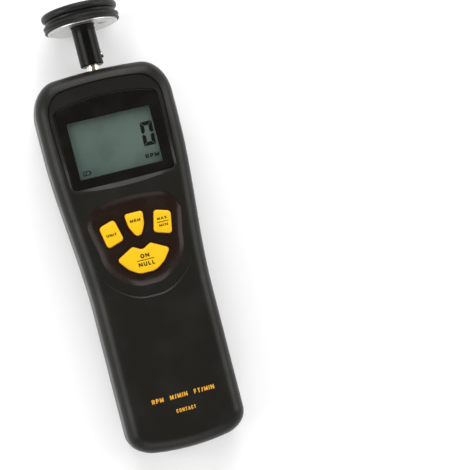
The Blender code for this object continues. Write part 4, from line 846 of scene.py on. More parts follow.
def block(name: str, low: Sequence[float], high: Sequence[float], edge: float = 0.0) -> bpy.types.Object:
    """A box between two corners, each as X, place along the body and height, with its edges eased.

    Args:
        name: Its name.
        low: The lowest corner.
        high: The highest corner.
        edge: How much of each edge is rounded off.

    Returns:
        The box.
    """
    rest()
    size = Vector(high) - Vector(low)
    middle = (Vector(high) + Vector(low)) / 2
    bpy.ops.mesh.primitive_cube_add(size=1.0, location=(middle.x, at(middle.y), middle.z), scale=size)
    obj = name_it(name)
    bpy.ops.object.transform_apply(location=True, rotation=True, scale=True)
    if edge:
        with editing(obj):
            bpy.ops.mesh.select_all(action="SELECT")
            bpy.ops.mesh.bevel(offset=edge, segments=3)
    return obj


def post(name: str, x: float, place: float, low: float, high: float, radius: float,
         segments: int = 48) -> bpy.types.Object:
    """An upright round bar between two heights.

    Args:
        name: Its name.
        x: X of its axis.
        place: Its axis's place along the body.
        low: Its lower end's height.
        high: Its upper end's height.
        radius: Its radius.
        segments: How many faces go round it.

    Returns:
        The bar.
    """
    rest()
    bpy.ops.mesh.primitive_cylinder_add(vertices=segments, radius=radius, depth=high - low,
                                        location=(x, at(place), (low + high) / 2))
    obj = name_it(name)
    bpy.ops.object.transform_apply(location=True, rotation=True, scale=True)
    return obj


def shape(target: bpy.types.Object, operation: Operation, *tools: bpy.types.Object) -> bpy.types.Object:
    """Cuts solids from a piece, joins them to it or keeps what they share, and removes them.

    Args:
        target: The piece.
        operation: What is done.
        *tools: The solids.

    Returns:
        The piece.
    """
    for tool in tools:
        take(target)
        bpy.ops.object.modifier_add(type="BOOLEAN")
        step = target.modifiers[-1]
        step.operation = operation.value
        step.solver = "MANIFOLD"
        step.object = tool
        bpy.ops.object.modifier_apply(modifier=step.name)
        bpy.data.objects.remove(tool)
    return target


def smooth(obj: bpy.types.Object, angle: float = 30.0) -> bpy.types.Object:
    """Shades a piece smooth, all but its corners.

    Args:
        obj: The piece.
        angle: The sharpest fold that is still smooth, in degrees.

    Returns:
        The piece.
    """
    take(obj)
    bpy.ops.object.shade_smooth_by_angle(angle=math.radians(angle))
    return obj


def even_shading(obj: bpy.types.Object) -> bpy.types.Object:
    """Lets the large faces of a piece set its shading, so that its flats look flat."""
    take(obj)
    bpy.ops.object.modifier_add(type="WEIGHTED_NORMAL")
    step = obj.modifiers[-1]
    step.keep_sharp = True
    step.weight = 80
    bpy.ops.object.modifier_apply(modifier=step.name)
    return obj


def turn(name: str, corners: Sequence[Corner], axis_height: float, start: float, steps: int = 128,
         fine: int = 4) -> bpy.types.Object:
    """A closed profile turned about the spindle's axis.

    Args:
        name: The piece's name.
        corners: The profile's corners, inner low end first and going up the outside, each as radius,
            distance out of the body and corner radius.
        axis_height: The axis's height.
        start: The place along the body that distances are measured from.
        steps: How many faces go round it.
        fine: How many steps a rounded corner has.

    Returns:
        The piece.
    """
    rest()
    points = rounded(corners, fine)
    bpy.ops.mesh.primitive_circle_add(vertices=len(points), radius=0.01, fill_type="NOTHING")
    obj = name_it(name)
    with editing(obj):
        number_ring(obj)
        bpy.ops.mesh.select_all(action="SELECT")
        lay(obj, [Vector((p.x, at(start + p.y), axis_height)) for p in points])
        bpy.ops.mesh.spin(steps=steps, angle=2 * math.pi, center=(0.0, 0.0, axis_height), axis=(0.0, 1.0, 0.0))
        bpy.ops.mesh.select_all(action="SELECT")
        bpy.ops.mesh.remove_doubles(threshold=MERGE)
        bpy.ops.mesh.delete_loose()
        bpy.ops.mesh.select_all(action="SELECT")
        bpy.ops.mesh.normals_make_consistent(inside=False)
    return smooth(obj)


def rounded(corners: Sequence[Corner], steps: int = 6) -> list[Vector]:
    """An outline of corner points, each rounded to its own radius.

    Args:
        corners: The corners, each as its two places and its radius, which may be nought.
        steps: How many steps a rounded corner has.

    Returns:
        The outline's points.
    """
    points = []
    for index, (x, y, radius) in enumerate(corners):
        corner = Vector((x, y))
        if radius <= 0.0:
            points.append(corner)
            continue
        to_last = (Vector(corners[index - 1][:2]) - corner).normalized()
        to_next = (Vector(corners[(index + 1) % len(corners)][:2]) - corner).normalized()
        half_angle = to_last.angle(to_next) / 2
        reach = radius / math.tan(half_angle)
        centre = corner + (to_last + to_next).normalized() * radius / math.sin(half_angle)
        first = corner + to_last * reach - centre
        turning = -first.angle_signed(corner + to_next * reach - centre)
        for step in range(steps + 1):
            angle = turning * step / steps
            cosine, sine = math.cos(angle), math.sin(angle)
            points.append(centre + Vector((first.x * cosine - first.y * sine, first.x * sine + first.y * cosine)))
    return points


def inset(points: Sequence[Vector], distance: float) -> list[Vector]:
    """A counter-clockwise outline moved inwards by a distance, or outwards by a negative one.

    Args:
        points: The outline.
        distance: How far it moves.

    Returns:
        The moved outline.
    """
    moved = []
    for index, point in enumerate(points):
        before = (point - points[index - 1]).normalized()
        after = (points[(index + 1) % len(points)] - point).normalized()
        normals = Vector((-before.y - after.y, before.x + after.x))
        moved.append(point + normals * distance / (1 + before.dot(after)))
    return moved


def scaled(points: Sequence[Vector], centre: Vector, share: float) -> list[Vector]:
    """An outline shrunk towards a centre."""
    return [centre + (point - centre) * share for point in points]


def inside(points: Sequence[Vector], spot: Vector) -> bool:
    """Whether a spot lies inside an outline."""
    crossings = 0
    for index, point in enumerate(points):
        last = points[index - 1]
        if (point.y > spot.y) != (last.y > spot.y):
            crossings += spot.x < point.x + (spot.y - point.y) * (last.x - point.x) / (last.y - point.y)
    return crossings % 2 == 1


def ring(points: Sequence[Vector], height: float | Callable[[float], float]) -> list[Vector]:
    """An outline's points in space.

    Args:
        points: The outline, along the body.
        height: Its height, or the height at a place along the body.

    Returns:
        The points.
    """
    level = height if callable(height) else lambda place: height
    return [Vector((p.x, at(p.y), level(p.y))) for p in points]


def plate(name: str, outline: Sequence[Vector], low: float, high: float) -> bpy.types.Object:
    """A flat outline filled between two heights."""
    return skin(name, [ring(outline, low), ring(outline, high)])


def frame_plate(name: str, outer: Sequence[Vector], inner: Sequence[Vector], low: float,
                high: float) -> bpy.types.Object:
    """A flat frame between two outlines of equally many points and two heights."""
    rings = [ring(outer, low), ring(outer, high), ring(inner, high), ring(inner, low)]
    return skin(name, rings, looped=True)


def quarter(radius: float, steps: int) -> list[Point]:
    """Insets and heights of a quarter round, from the side wall to the flat."""
    angles = [math.pi / 2 * step / steps for step in range(1, steps + 1)]
    return [(radius * (1 - math.cos(angle)), radius * math.sin(angle)) for angle in angles]


def both_sides(places: Sequence[Point]) -> list[Point]:
    """Each place on the right-hand side, and its mirror place on the left."""
    return [(side * x, place) for x, place in places for side in (-1, 1)]


@dataclass(frozen=True)
class Outline:
    """A plan outline, alike on both sides, from a lower end to an upper end along the body."""

    low: float
    high: float
    half_low: float
    half_high: float
    taper_low: float
    taper_high: float
    low_bow: float
    high_bow: float
    low_corner: Point
    high_corner: Point
    fullness: float = 0.55
    end_steps: int = 10
    corner_steps: int = 16
    side_steps: int = 18

    def half_width(self, place: float) -> float:
        """Half the width at a place, easing from the lower half width to the upper one."""
        share = min(1.0, max(0.0, (place - self.taper_low) / (self.taper_high - self.taper_low)))
        return self.half_low + (self.half_high - self.half_low) * share * share * (3 - 2 * share)

    def corner(self, end: float, bow: float, half: float, size: Point, inward: int) -> list[Vector]:
        """A corner's curve from the bowed end to the side.

        Args:
            end: The end's place.
            bow: How far the end bows out.
            half: Half the width there.
            size: The corner's reach across and along.
            inward: +1 at the lower end, -1 at the upper one.

        Returns:
            The curve's points.
        """
        start_x = half - size[0]
        start = Vector((start_x, end + inward * bow * (start_x / half) ** 2))
        slope = Vector((1.0, inward * 2 * bow * start_x / half**2))
        stop_place = end + inward * size[1]
        stop = Vector((self.half_width(stop_place), stop_place))
        first = start + slope * self.fullness * (stop.x - start.x)
        second = stop - Vector((0.0, self.fullness * (stop.y - start.y)))
        return [p.copy() for p in interpolate_bezier(start, first, second, stop, self.corner_steps + 1)]

    def points(self) -> list[Vector]:
        """The outline's points, counter-clockwise, starting at the middle of the lower end."""
        low = self.corner(self.low, self.low_bow, self.half_low, self.low_corner, 1)
        high = self.corner(self.high, self.high_bow, self.half_high, self.high_corner, -1)
        half = []
        for step in range(self.end_steps):
            x = low[0].x * step / self.end_steps
            half.append(Vector((x, self.low + self.low_bow * (x / self.half_low) ** 2)))
        half += low
        for step in range(1, self.side_steps):
            place = low[-1].y + (high[-1].y - low[-1].y) * step / self.side_steps
            half.append(Vector((self.half_width(place), place)))
        half += high[::-1]
        for step in range(self.end_steps - 1, -1, -1):
            x = high[0].x * step / self.end_steps
            half.append(Vector((x, self.high - self.high_bow * (x / self.half_high) ** 2)))
        return half + [Vector((-p.x, p.y)) for p in half[-2:0:-1]]


def piece(obj: bpy.types.Object, finish: Finish, body: Body,
          replaces: Sequence[str] = ()) -> bpy.types.Object:
    """Dresses a finished piece and hangs it on its body.

    Args:
        obj: The piece.
        finish: Its finish, or None where it is dressed already.
        body: The body that it moves with.
        replaces: The solids that it stands for.

    Returns:
        The piece.
    """
    if finish is not None:
        finish.dress(obj)
    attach(obj, body.value)
    if replaces:
        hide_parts(*replaces)
    obj.data.calc_loop_triangles()
    LOG.info("%s: %d triangles, rides on %s", obj.name, len(obj.data.loop_triangles), body.value)
    return obj


# Each letter's width as a share of its height, and its centre lines in a box from 0 to 1
GLYPHS: dict[str, tuple[float, tuple[tuple[Point, ...], ...]]] = {
    " ": (0.42, ()),
    "/": (0.42, (((0.0, 0.0), (1.0, 1.0)),)),
    "A": (0.84, (((0.0, 0.0), (0.5, 1.0), (1.0, 0.0)), ((0.16, 0.30), (0.84, 0.30)))),
    "C": (0.76, (((1.0, 0.78), (0.74, 1.0), (0.26, 1.0), (0.0, 0.74), (0.0, 0.26), (0.26, 0.0), (0.74, 0.0),
                  (1.0, 0.22)),)),
    "E": (0.66, (((1.0, 1.0), (0.0, 1.0), (0.0, 0.0), (1.0, 0.0)), ((0.0, 0.52), (0.88, 0.52)))),
    "F": (0.62, (((1.0, 1.0), (0.0, 1.0), (0.0, 0.0)), ((0.0, 0.5), (0.86, 0.5)))),
    "I": (0.20, (((0.5, 0.0), (0.5, 1.0)),)),
    "L": (0.60, (((0.0, 1.0), (0.0, 0.0), (1.0, 0.0)),)),
    "M": (0.90, (((0.0, 0.0), (0.0, 1.0), (0.5, 0.12), (1.0, 1.0), (1.0, 0.0)),)),
    "N": (0.86, (((0.0, 0.0), (0.0, 1.0), (1.0, 0.0), (1.0, 1.0)),)),
    "O": (0.84, (((0.28, 0.0), (0.0, 0.26), (0.0, 0.74), (0.28, 1.0), (0.72, 1.0), (1.0, 0.74), (1.0, 0.26),
                  (0.72, 0.0), (0.28, 0.0)),)),
    "P": (0.70, (((0.0, 0.0), (0.0, 1.0), (0.72, 1.0), (1.0, 0.86), (1.0, 0.58), (0.72, 0.44), (0.0, 0.44)),)),
    "R": (0.74, (((0.0, 0.0), (0.0, 1.0), (0.72, 1.0), (1.0, 0.86), (1.0, 0.60), (0.72, 0.46), (0.0, 0.46)),
                 ((0.52, 0.46), (1.0, 0.0)))),
    "T": (0.68, (((0.0, 1.0), (1.0, 1.0)), ((0.5, 1.0), (0.5, 0.0)))),
    "U": (0.76, (((0.0, 1.0), (0.0, 0.26), (0.26, 0.0), (0.74, 0.0), (1.0, 0.26), (1.0, 1.0)),)),
    "X": (0.76, (((0.0, 0.0), (1.0, 1.0)), ((0.0, 1.0), (1.0, 0.0)))),
}


@dataclass(frozen=True)
class Lettering:
    """A line of plain printed letters, fitted to a box on a level surface."""

    name: str
    words: str
    centre: Point
    width: float
    height: float
    level: float
    weight: float = 0.245
    spacing: float = 0.24

    def lines(self) -> list[list[Vector]]:
        """The centre lines of all strokes, along the body."""
        natural = sum(GLYPHS[letter][0] for letter in self.words) + self.spacing * (len(self.words) - 1)
        unit = self.width / natural
        half = self.weight * self.height / 2
        left, low = self.centre[0] - self.width / 2, self.centre[1] - self.height / 2 + half
        found = []
        for letter in self.words:
            share, strokes = GLYPHS[letter]
            for stroke in strokes:
                found.append([Vector((left + half + (share * unit - 2 * half) * x,
                                      low + (self.height - 2 * half) * y)) for x, y in stroke])
            left += (share + self.spacing) * unit
        return found

    def build(self) -> bpy.types.Object:
        """The letters as a thin mesh in their place."""
        half = self.weight * self.height / 2
        low, high = self.level - LETTER_DEPTH / 2, self.level + LETTER_DEPTH / 2
        forms = []
        for line in self.lines():
            for first, last in zip(line, line[1:]):
                along = (last - first).normalized() * half
                side = Vector((-along.y, along.x))
                start, stop = first - along * 0.6, last + along * 0.6
                forms.append(plate(self.name, [start - side, stop - side, stop + side, start + side], low, high))
        return shape(forms[0], Operation.JOIN, *forms[1:])


# The instrument's sub-assemblies


@dataclass
class Display:
    """The printed window, the display's field and what it reads."""

    sight_width: float = 0.040
    sight_length: float = 0.0273
    window_top: float = 0.0348
    window_thickness: float = 0.0012
    glass_top: float = 0.0322
    lip: float = 0.00025
    digit_low: float = 0.1421
    digit_high: float = 0.1535
    digit_left: float = 0.01335
    digit_right: float = 0.01915
    slant: float = 0.0005
    stroke: float = 0.0018
    segment_gap: float = 0.00016
    window: Outline = field(default_factory=lambda: Outline(
        low=SIGHT_CENTRE - 0.01365 - 0.0045, high=SIGHT_CENTRE + 0.01365 + 0.0097, half_low=0.0244,
        half_high=0.0249, taper_low=SIGHT_CENTRE - 0.01365, taper_high=SIGHT_CENTRE + 0.01365, low_bow=0.0004,
        high_bow=0.0033, low_corner=(0.0022, 0.0026), high_corner=(0.0036, 0.0062), corner_steps=10,
        side_steps=8))

    def build(self) -> None:
        """Builds the window and the reading."""
        self.pane()
        GLASS_FINISH.dress(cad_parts["lcd_glass"])
        piece(self.digit(), SEGMENT_FINISH, Body.CASE)
        unit = Lettering("reading_unit", "RPM", (0.0158, 0.13735), 0.0066, 0.0021, self.reading_level())
        piece(unit.build(), SEGMENT_FINISH, Body.CASE)
        piece(self.battery_sign(), SEGMENT_FINISH, Body.CASE)

    def reading_level(self) -> float:
        """The height of the middle of a printed segment."""
        return self.glass_top + LETTER_DEPTH

    def pane(self) -> bpy.types.Object:
        """The window, its upper edge eased."""
        outline = inset(self.window.points(), SEAT_GAP / 2)
        under = self.window_top - self.window_thickness
        rings = [ring(outline, under), ring(outline, self.window_top - self.lip)]
        rings += [ring(inset(outline, step_in), self.window_top - self.lip + step_up)
                  for step_in, step_up in quarter(self.lip, 4)]
        pane = smooth(skin("window_pane", rings), 40.0)
        return piece(even_shading(pane), WINDOW_FINISH, Body.CASE, ["display_window"])

    def lean(self, place: float) -> float:
        """How far the slanted digit's middle leans over at a place."""
        middle = (self.digit_low + self.digit_high) / 2
        return self.slant * (place - middle) / (self.digit_high - self.digit_low)

    def bar(self, name: str, outline: Sequence[Point]) -> bpy.types.Object:
        """One bar of the reading, leaned over with it."""
        leaned = [Vector((x + self.lean(place), place)) for x, place in outline]
        return plate(name, leaned, self.glass_top + LETTER_DEPTH / 2, self.glass_top + LETTER_DEPTH * 1.5)

    def digit(self) -> bpy.types.Object:
        """The figure nought, made of six mitred bars."""
        across, up = (self.digit_left + self.digit_right) / 2, (self.digit_low + self.digit_high) / 2
        half_x, half_y = (self.digit_right - self.digit_left) / 2, (self.digit_high - self.digit_low) / 2
        gap, stroke = self.segment_gap, self.stroke
        level = [(-half_x + gap, half_y), (-half_x + stroke + gap, half_y - stroke),
                 (half_x - stroke - gap, half_y - stroke), (half_x - gap, half_y)]
        upright = [(half_x, half_y - gap), (half_x - stroke, half_y - stroke - gap),
                   (half_x - stroke, stroke / 2 + gap), (half_x - stroke / 2, gap), (half_x, stroke / 4 + gap)]
        bars = [self.bar(f"bar_{end}", [(across + x, up + end * y) for x, y in level]) for end in (-1, 1)]
        bars += [self.bar(f"bar_{side}_{end}", [(across + side * x, up + end * y) for x, y in upright])
                 for side in (-1, 1) for end in (-1, 1)]
        digit = shape(bars[0], Operation.JOIN, *bars[1:])
        digit.name = "reading_digit"
        return digit

    def battery_sign(self) -> bpy.types.Object:
        """The low-battery sign: an outlined cell with its cap and a slanted bar."""
        left, right, low, high = -0.0178, -0.0143, 0.1351, 0.1373
        line = 0.0004
        corners = [(left, low), (right, low), (right, high), (left, high)]
        cell = rounded([(*corner, 0.0005) for corner in corners], 3)
        bottom, top = self.glass_top + LETTER_DEPTH / 2, self.glass_top + LETTER_DEPTH * 1.5
        middle, cap, slant = (low + high) / 2, 0.0005, 0.0006
        sign = frame_plate("reading_battery_sign", cell, inset(cell, line), bottom, top)
        nub = plate("cell_cap", [Vector((right - line / 2, middle - cap)), Vector((right + line, middle - cap)),
                                 Vector((right + line, middle + cap)), Vector((right - line / 2, middle + cap))],
                    bottom, top)
        foot = left + 0.0009
        mark = plate("cell_bar", [Vector((foot, low + line * 1.4)), Vector((foot + line * 1.3, low + line * 1.4)),
                                  Vector((foot + slant + line * 1.3, high - line * 1.4)),
                                  Vector((foot + slant, high - line * 1.4))], bottom, top)
        return shape(sign, Operation.JOIN, nub, mark)


@dataclass
class Keypad:
    """The dish in the face, the four caps that stand in it and their legends."""

    centre: float = 0.0987
    top: float = 0.0356
    flange_low: float = 0.0307
    flange: float = 0.001
    flange_thickness: float = 0.001
    edge: float = 0.0007
    crown: float = 0.00018
    rule_half: float = 0.00018
    legend_weight: float = 0.255
    outline: Outline = field(default_factory=lambda: Outline(
        low=0.0987 - 0.0203, high=0.0987 + 0.0226, half_low=0.0197, half_high=0.0223, taper_low=0.0947,
        taper_high=0.1117, low_bow=0.0002, high_bow=0.0032, low_corner=(0.0172, 0.0180),
        high_corner=(0.0075, 0.0105), fullness=0.45, end_steps=6, corner_steps=26, side_steps=6))
    side_key: Sequence[Corner] = ((0.0174, 0.0113, 0.0019), (0.0095, 0.0136, 0.0016), (0.0070, 0.0032, 0.0018),
                                  (0.0155, 0.0005, 0.0016))
    memory_key: Sequence[Corner] = ((0.0046, 0.0146, 0.0014), (-0.0046, 0.0146, 0.0014),
                                    (-0.0038, 0.0081, 0.0062), (0.0, 0.0004, 0.0023), (0.0038, 0.0081, 0.0062))
    power_key: Sequence[Corner] = ((0.0129, -0.0055, 0.0016), (0.0043, -0.0009, 0.0016), (0.0, -0.0033, 0.0024),
                                   (-0.0043, -0.0009, 0.0016), (-0.0129, -0.0055, 0.0016),
                                   (-0.0087, -0.0110, 0.0070), (-0.0040, -0.0142, 0.0070),
                                   (0.0040, -0.0142, 0.0070), (0.0087, -0.0110, 0.0070))

    def outlines(self) -> dict[str, list[Vector]]:
        """Each key's node name and its outline along the body."""
        side, memory, power = ([(x, self.centre + rise, radius) for x, rise, radius in corners]
                               for corners in (self.side_key, self.memory_key, self.power_key))
        return {
            "key_unit": rounded([(-x, place, radius) for x, place, radius in side[::-1]]),
            "key_mem": rounded(memory),
            "key_max_min": rounded(side),
            "key_on_null": rounded(power),
        }

    def cap(self, name: str, node: str, outline: list[Vector], body: Body) -> bpy.types.Object:
        """One cap, with its flange, rounded edge and faintly crowned top.

        Args:
            name: The piece's name.
            node: The solid that it stands for.
            outline: Its outline.
            body: The body that it moves with.

        Returns:
            The cap.
        """
        middle = sum(outline, Vector((0.0, 0.0))) / len(outline)
        shelf = self.flange_low + self.flange_thickness
        wide = inset(outline, -self.flange)
        rim = self.top - self.crown
        rings = [ring(wide, self.flange_low), ring(wide, shelf), ring(outline, shelf),
                 ring(outline, rim - self.edge)]
        rings += [ring(inset(outline, step_in), rim - self.edge + step_up)
                  for step_in, step_up in quarter(self.edge, 5)]
        flat = inset(outline, self.edge)
        rings += [ring(scaled(flat, middle, share), rim + self.crown * rise)
                  for share, rise in ((0.93, 0.35), (0.82, 0.7), (0.62, 1.0))]
        cap = smooth(skin(name, rings), 40.0)
        return piece(even_shading(cap), KEY_FINISH, body, [node])

    def rule(self, name: str, left: float, right: float, place: float) -> bpy.types.Object:
        """The thin line between a key's two words."""
        return block(name, (left, place - self.rule_half, self.top),
                     (right, place + self.rule_half, self.top + LETTER_DEPTH), edge=0.00001)

    def legend(self, name: str, words: str, x: float, rise: float, width: float, height: float,
               body: Body) -> bpy.types.Object:
        """A printed word on a cap, at a place above the keypad's centre."""
        line = Lettering(name, words, (x, self.centre + rise), width, height, self.top + LETTER_DEPTH / 2,
                         self.legend_weight)
        return piece(line.build(), LEGEND_FINISH, body)

    def build(self) -> None:
        """Builds the caps and their legends."""
        outlines = self.outlines()
        for name, node, body in (("cap_unit", "key_unit", Body.UNIT), ("cap_mem", "key_mem", Body.MEMORY),
                                 ("cap_max_min", "key_max_min", Body.EXTREMES),
                                 ("cap_on_null", "key_on_null", Body.POWER)):
            self.cap(name, node, outlines[node], body)
        self.legend("legend_unit", "UNIT", -0.0123, 0.0066, 0.0049, 0.0014, Body.UNIT)
        self.legend("legend_mem", "MEM", 0.0, 0.0106, 0.0049, 0.0014, Body.MEMORY)
        self.legend("legend_max", "MAX", 0.0124, 0.0087, 0.0046, 0.0013, Body.EXTREMES)
        self.legend("legend_min", "MIN", 0.0124, 0.0055, 0.0041, 0.0013, Body.EXTREMES)
        piece(self.rule("legend_line_max", 0.0097, 0.0152, self.centre + 0.0071), LEGEND_FINISH, Body.EXTREMES)
        self.legend("legend_on", "ON", 0.0003, -0.0063, 0.0042, 0.0020, Body.POWER)
        self.legend("legend_null", "NULL", 0.0003, -0.0101, 0.0078, 0.0020, Body.POWER)
        piece(self.rule("legend_line_on", -0.0040, 0.0044, self.centre - 0.0082), LEGEND_FINISH, Body.POWER)


@dataclass
class Case:
    """The two mouldings and the battery's door."""

    length: float = 0.1835
    depth: float = 0.036
    wall: float = 0.0022
    front_edge: float = 0.007
    back_edge: float = 0.006
    draft: float = 0.0005
    split: float = 0.019
    parting_band: float = 0.003
    lap: float = 0.0018
    rim_step: float = 0.0007
    display_top: float = 0.0322
    ledge_top: float = 0.0333
    window_lip: float = 0.0022
    dish_depth: float = 0.0018
    dish_under: float = 0.032
    terrace_width: float = 0.0054
    terrace_depth: float = 0.00045
    terrace_slope: float = 0.028
    spindle_hole: float = 0.00365
    screw_places: Sequence[Point] = ((0.0202, 0.0699), (0.0220, 0.1713))
    counterbore: float = 0.0028
    counterbore_depth: float = 0.008
    pillar: float = 0.0041
    door_half: float = 0.01695
    door_length: float = 0.0611
    door_thickness: float = 0.002
    door_end: float = 0.0036
    door_end_height: float = 0.009
    door_tongue: float = 0.0012
    door_set: float = 0.0002
    rail_low: float = 0.001
    rail_top: float = 0.0019
    catch_half: float = 0.006
    ribs: int = 5
    rib_pitch: float = 0.0022
    rib_half: float = 0.008
    rib_shortening: float = 0.0012
    rib_depth: float = 0.0005
    rib_from_top: float = 0.009
    well_half: float = 0.01365
    well_high: float = 0.0591
    well_ceiling: float = 0.0202
    well_wall: float = 0.0016
    bed_thickness: float = 0.0022
    bed_low: float = 0.0065
    bed_border: float = 0.0015
    dish_profile: Sequence[Point] = (
        (0.30, 1.0), (0.44, 0.998), (0.54, 0.992), (0.64, 0.975), (0.71, 0.945), (0.77, 0.89), (0.82, 0.81),
        (0.86, 0.71), (0.895, 0.59), (0.925, 0.45), (0.95, 0.31), (0.97, 0.19), (0.985, 0.10), (1.0, 0.03))
    body: Outline = field(default_factory=lambda: Outline(
        low=0.0, high=0.1835, half_low=0.0287, half_high=0.0334, taper_low=0.071, taper_high=0.151,
        low_bow=0.0038, high_bow=0.0024, low_corner=(0.0117, 0.0125), high_corner=(0.0125, 0.0185),
        end_steps=10, corner_steps=22, side_steps=24))
    surround: Outline = field(default_factory=lambda: Outline(
        low=SIGHT_CENTRE - 0.01365 - 0.0045 - 0.0029, high=0.1835 - 0.0064, half_low=0.0260,
        half_high=0.0273, taper_low=SIGHT_CENTRE - 0.01815, taper_high=SIGHT_CENTRE + 0.01365, low_bow=0.0026,
        high_bow=0.0026, low_corner=(0.0036, 0.0052), high_corner=(0.0095, 0.0130), corner_steps=10,
        side_steps=8))

    def build(self, display: Display, keypad: Keypad) -> None:
        """Builds both mouldings, the door and the print on the face."""
        self.front(display, keypad)
        self.rear()
        self.door()
        self.face_print()

    def front(self, display: Display, keypad: Keypad) -> bpy.types.Object:
        """The front moulding: rounded rim, sunken surround, dished keypad.

        Args:
            display: The display that it frames.
            keypad: The keys that stand in it.

        Returns:
            The moulding.
        """
        outline = self.body.points()
        parting = self.split + SEAT_GAP / 2
        shell = skin("front_moulding", self.front_rings(outline, parting, 0.0))
        hollow = skin("front_hollow", self.front_rings(outline, parting - PAST, self.wall))
        shape(shell, Operation.CUT, hollow)
        window_frame = plate("window_frame", inset(display.window.points(), -self.window_lip),
                             self.display_top + SEAT_GAP, self.depth - SINK)
        backing = plate("keypad_backing", inset(keypad.outline.points(), SINK), self.dish_under,
                        self.depth - self.wall + SINK)
        shape(shell, Operation.JOIN, window_frame, backing)
        rebate = frame_plate("front_rebate", inset(outline, self.wall / 2), inset(outline, self.wall + SINK),
                             parting - SINK, parting + self.lap)
        pocket = plate("window_pocket", inset(display.window.points(), -SEAT_GAP / 2), self.ledge_top, self.depth)
        half_x, half_y = display.sight_width / 2, display.sight_length / 2
        sight = rounded([(half_x, SIGHT_CENTRE + half_y, 0.0006), (-half_x, SIGHT_CENTRE + half_y, 0.0006),
                         (-half_x, SIGHT_CENTRE - half_y, 0.0006), (half_x, SIGHT_CENTRE - half_y, 0.0006)], 4)
        opening = plate("sight_opening", sight, self.display_top, display.window_top)
        shape(shell, Operation.CUT, rebate, self.surround_hollow(display), pocket, opening,
              self.terrace(keypad), self.dish(keypad), self.hole_for_spindle())
        for name, key in keypad.outlines().items():
            shape(shell, Operation.CUT, plate(name + "_hole", inset(key, -SEAT_GAP), self.dish_under - PAST / 2,
                                              self.depth + PAST))
        smooth(shell, 18.0)
        even_shading(shell)
        self.two_finishes(shell, keypad)
        return piece(shell, None, Body.CASE, ["front_shell"])

    def front_rings(self, outline: list[Vector], foot: float, wall: float) -> list[list[Vector]]:
        """Rings up the front moulding's outside, or up its inside where a wall is given."""
        radius = self.front_edge - wall
        shoulder = self.depth - self.front_edge
        rings = [ring(inset(outline, wall), foot), ring(inset(outline, wall), self.split + self.parting_band),
                 ring(inset(outline, wall + self.draft), shoulder)]
        rings += [ring(inset(outline, wall + self.draft + step_in), shoulder + step_up)
                  for step_in, step_up in quarter(radius, 14)]
        return rings

    def surround_hollow(self, display: Display) -> bpy.types.Object:
        """The hollow round the window: a low step along the rim, its lip eased, then a slope down."""
        fade_from, fade_to = self.surround.low, SIGHT_CENTRE + display.sight_length / 2

        def share(place: float) -> float:
            return min(1.0, max(0.0, 2.2 * (place - fade_from) / (fade_to - fade_from)))

        outline = self.surround.points()
        window = display.window.points()
        lip, groove = 0.00014, 0.0004
        rings = [ring(window, display.window_top),
                 ring(inset(outline, groove * 0.9), lambda place: self.depth - self.rim_step * share(place)),
                 ring(inset(outline, groove * 0.5), lambda place: self.depth - (self.rim_step + groove) * share(place)),
                 ring(outline, lambda place: self.depth - (self.rim_step + groove) * share(place)),
                 ring(outline, lambda place: self.depth - (self.rim_step * 0.5) * share(place)),
                 ring(inset(outline, -lip * 0.3), lambda place: self.depth - (self.rim_step * 0.25) * share(place)),
                 ring(inset(outline, -lip), self.depth),
                 ring(inset(outline, -lip), self.depth + PAST)]
        return skin("surround_hollow", rings)

    def terrace(self, keypad: Keypad) -> bpy.types.Object:
        """The shallow terrace below the keypad, deepest in the middle and running out up the sides."""
        wide = inset(keypad.outline.points(), -self.terrace_width)
        narrow = scaled(wide, Vector((0.0, keypad.centre)), 1 - self.terrace_slope)
        run_out = keypad.centre - (keypad.centre - keypad.outline.low) / 2
        lowest = keypad.outline.low - self.terrace_width

        def floor_height(place: float) -> float:
            return self.depth - self.terrace_depth * min(1.0, (run_out - place) / (run_out - lowest))

        rings = [ring(narrow, floor_height), ring(wide, lambda place: floor_height(place) + self.terrace_depth),
                 ring(wide, self.depth + 2 * PAST)]
        return skin("keypad_terrace", rings)

    def dish(self, keypad: Keypad) -> bpy.types.Object:
        """The dished hollow that the keys stand in."""
        outline = keypad.outline.points()
        centre = Vector((0.0, keypad.centre))
        rings = [ring(scaled(outline, centre, share), self.depth - self.dish_depth * deep)
                 for share, deep in self.dish_profile]
        rings.append(ring(inset(outline, -0.00022), self.depth + 0.00002))
        rings.append(ring(inset(outline, -0.0003), self.depth + PAST))
        return skin("keypad_hollow", rings)

    def hole_for_spindle(self) -> bpy.types.Object:
        """The cutter for the hole in the body's upper end."""
        reach = 2 * self.wall
        return turn("spindle_way", [(0.0, -reach, 0.0), (self.spindle_hole, -reach, 0.0),
                                    (self.spindle_hole, reach, 0.0), (0.0, reach, 0.0)], self.split, self.length, 64)

    def two_finishes(self, shell: bpy.types.Object, keypad: Keypad) -> None:
        """Dresses the moulding in its grain, and the dish in the mould's polish."""
        CASE_FINISH.dress(shell)
        shell.data.materials.append(RECESS_FINISH.material())
        outline = inset(keypad.outline.points(), -0.00035)
        verts = shell.data.vertices
        in_dish = [v.co.z > self.dish_under - SINK and inside(outline, Vector((v.co.x, v.co.y - at(0.0))))
                   for v in verts]
        for face in shell.data.polygons:
            if all(in_dish[index] for index in face.vertices):
                face.material_index = 1

    def back_rings(self, outline: list[Vector], top: float, wall: float = 0.0) -> list[list[Vector]]:
        """Rings of the body's back, from the flat up the rounded edge to a height."""
        radius = self.back_edge - wall
        rings = [ring(inset(outline, wall + self.draft + step_in), self.back_edge - step_up)
                 for step_in, step_up in quarter(radius, 12)[::-1]]
        rings.append(ring(inset(outline, wall + self.draft), self.back_edge))
        rings.append(ring(inset(outline, wall), top))
        return rings

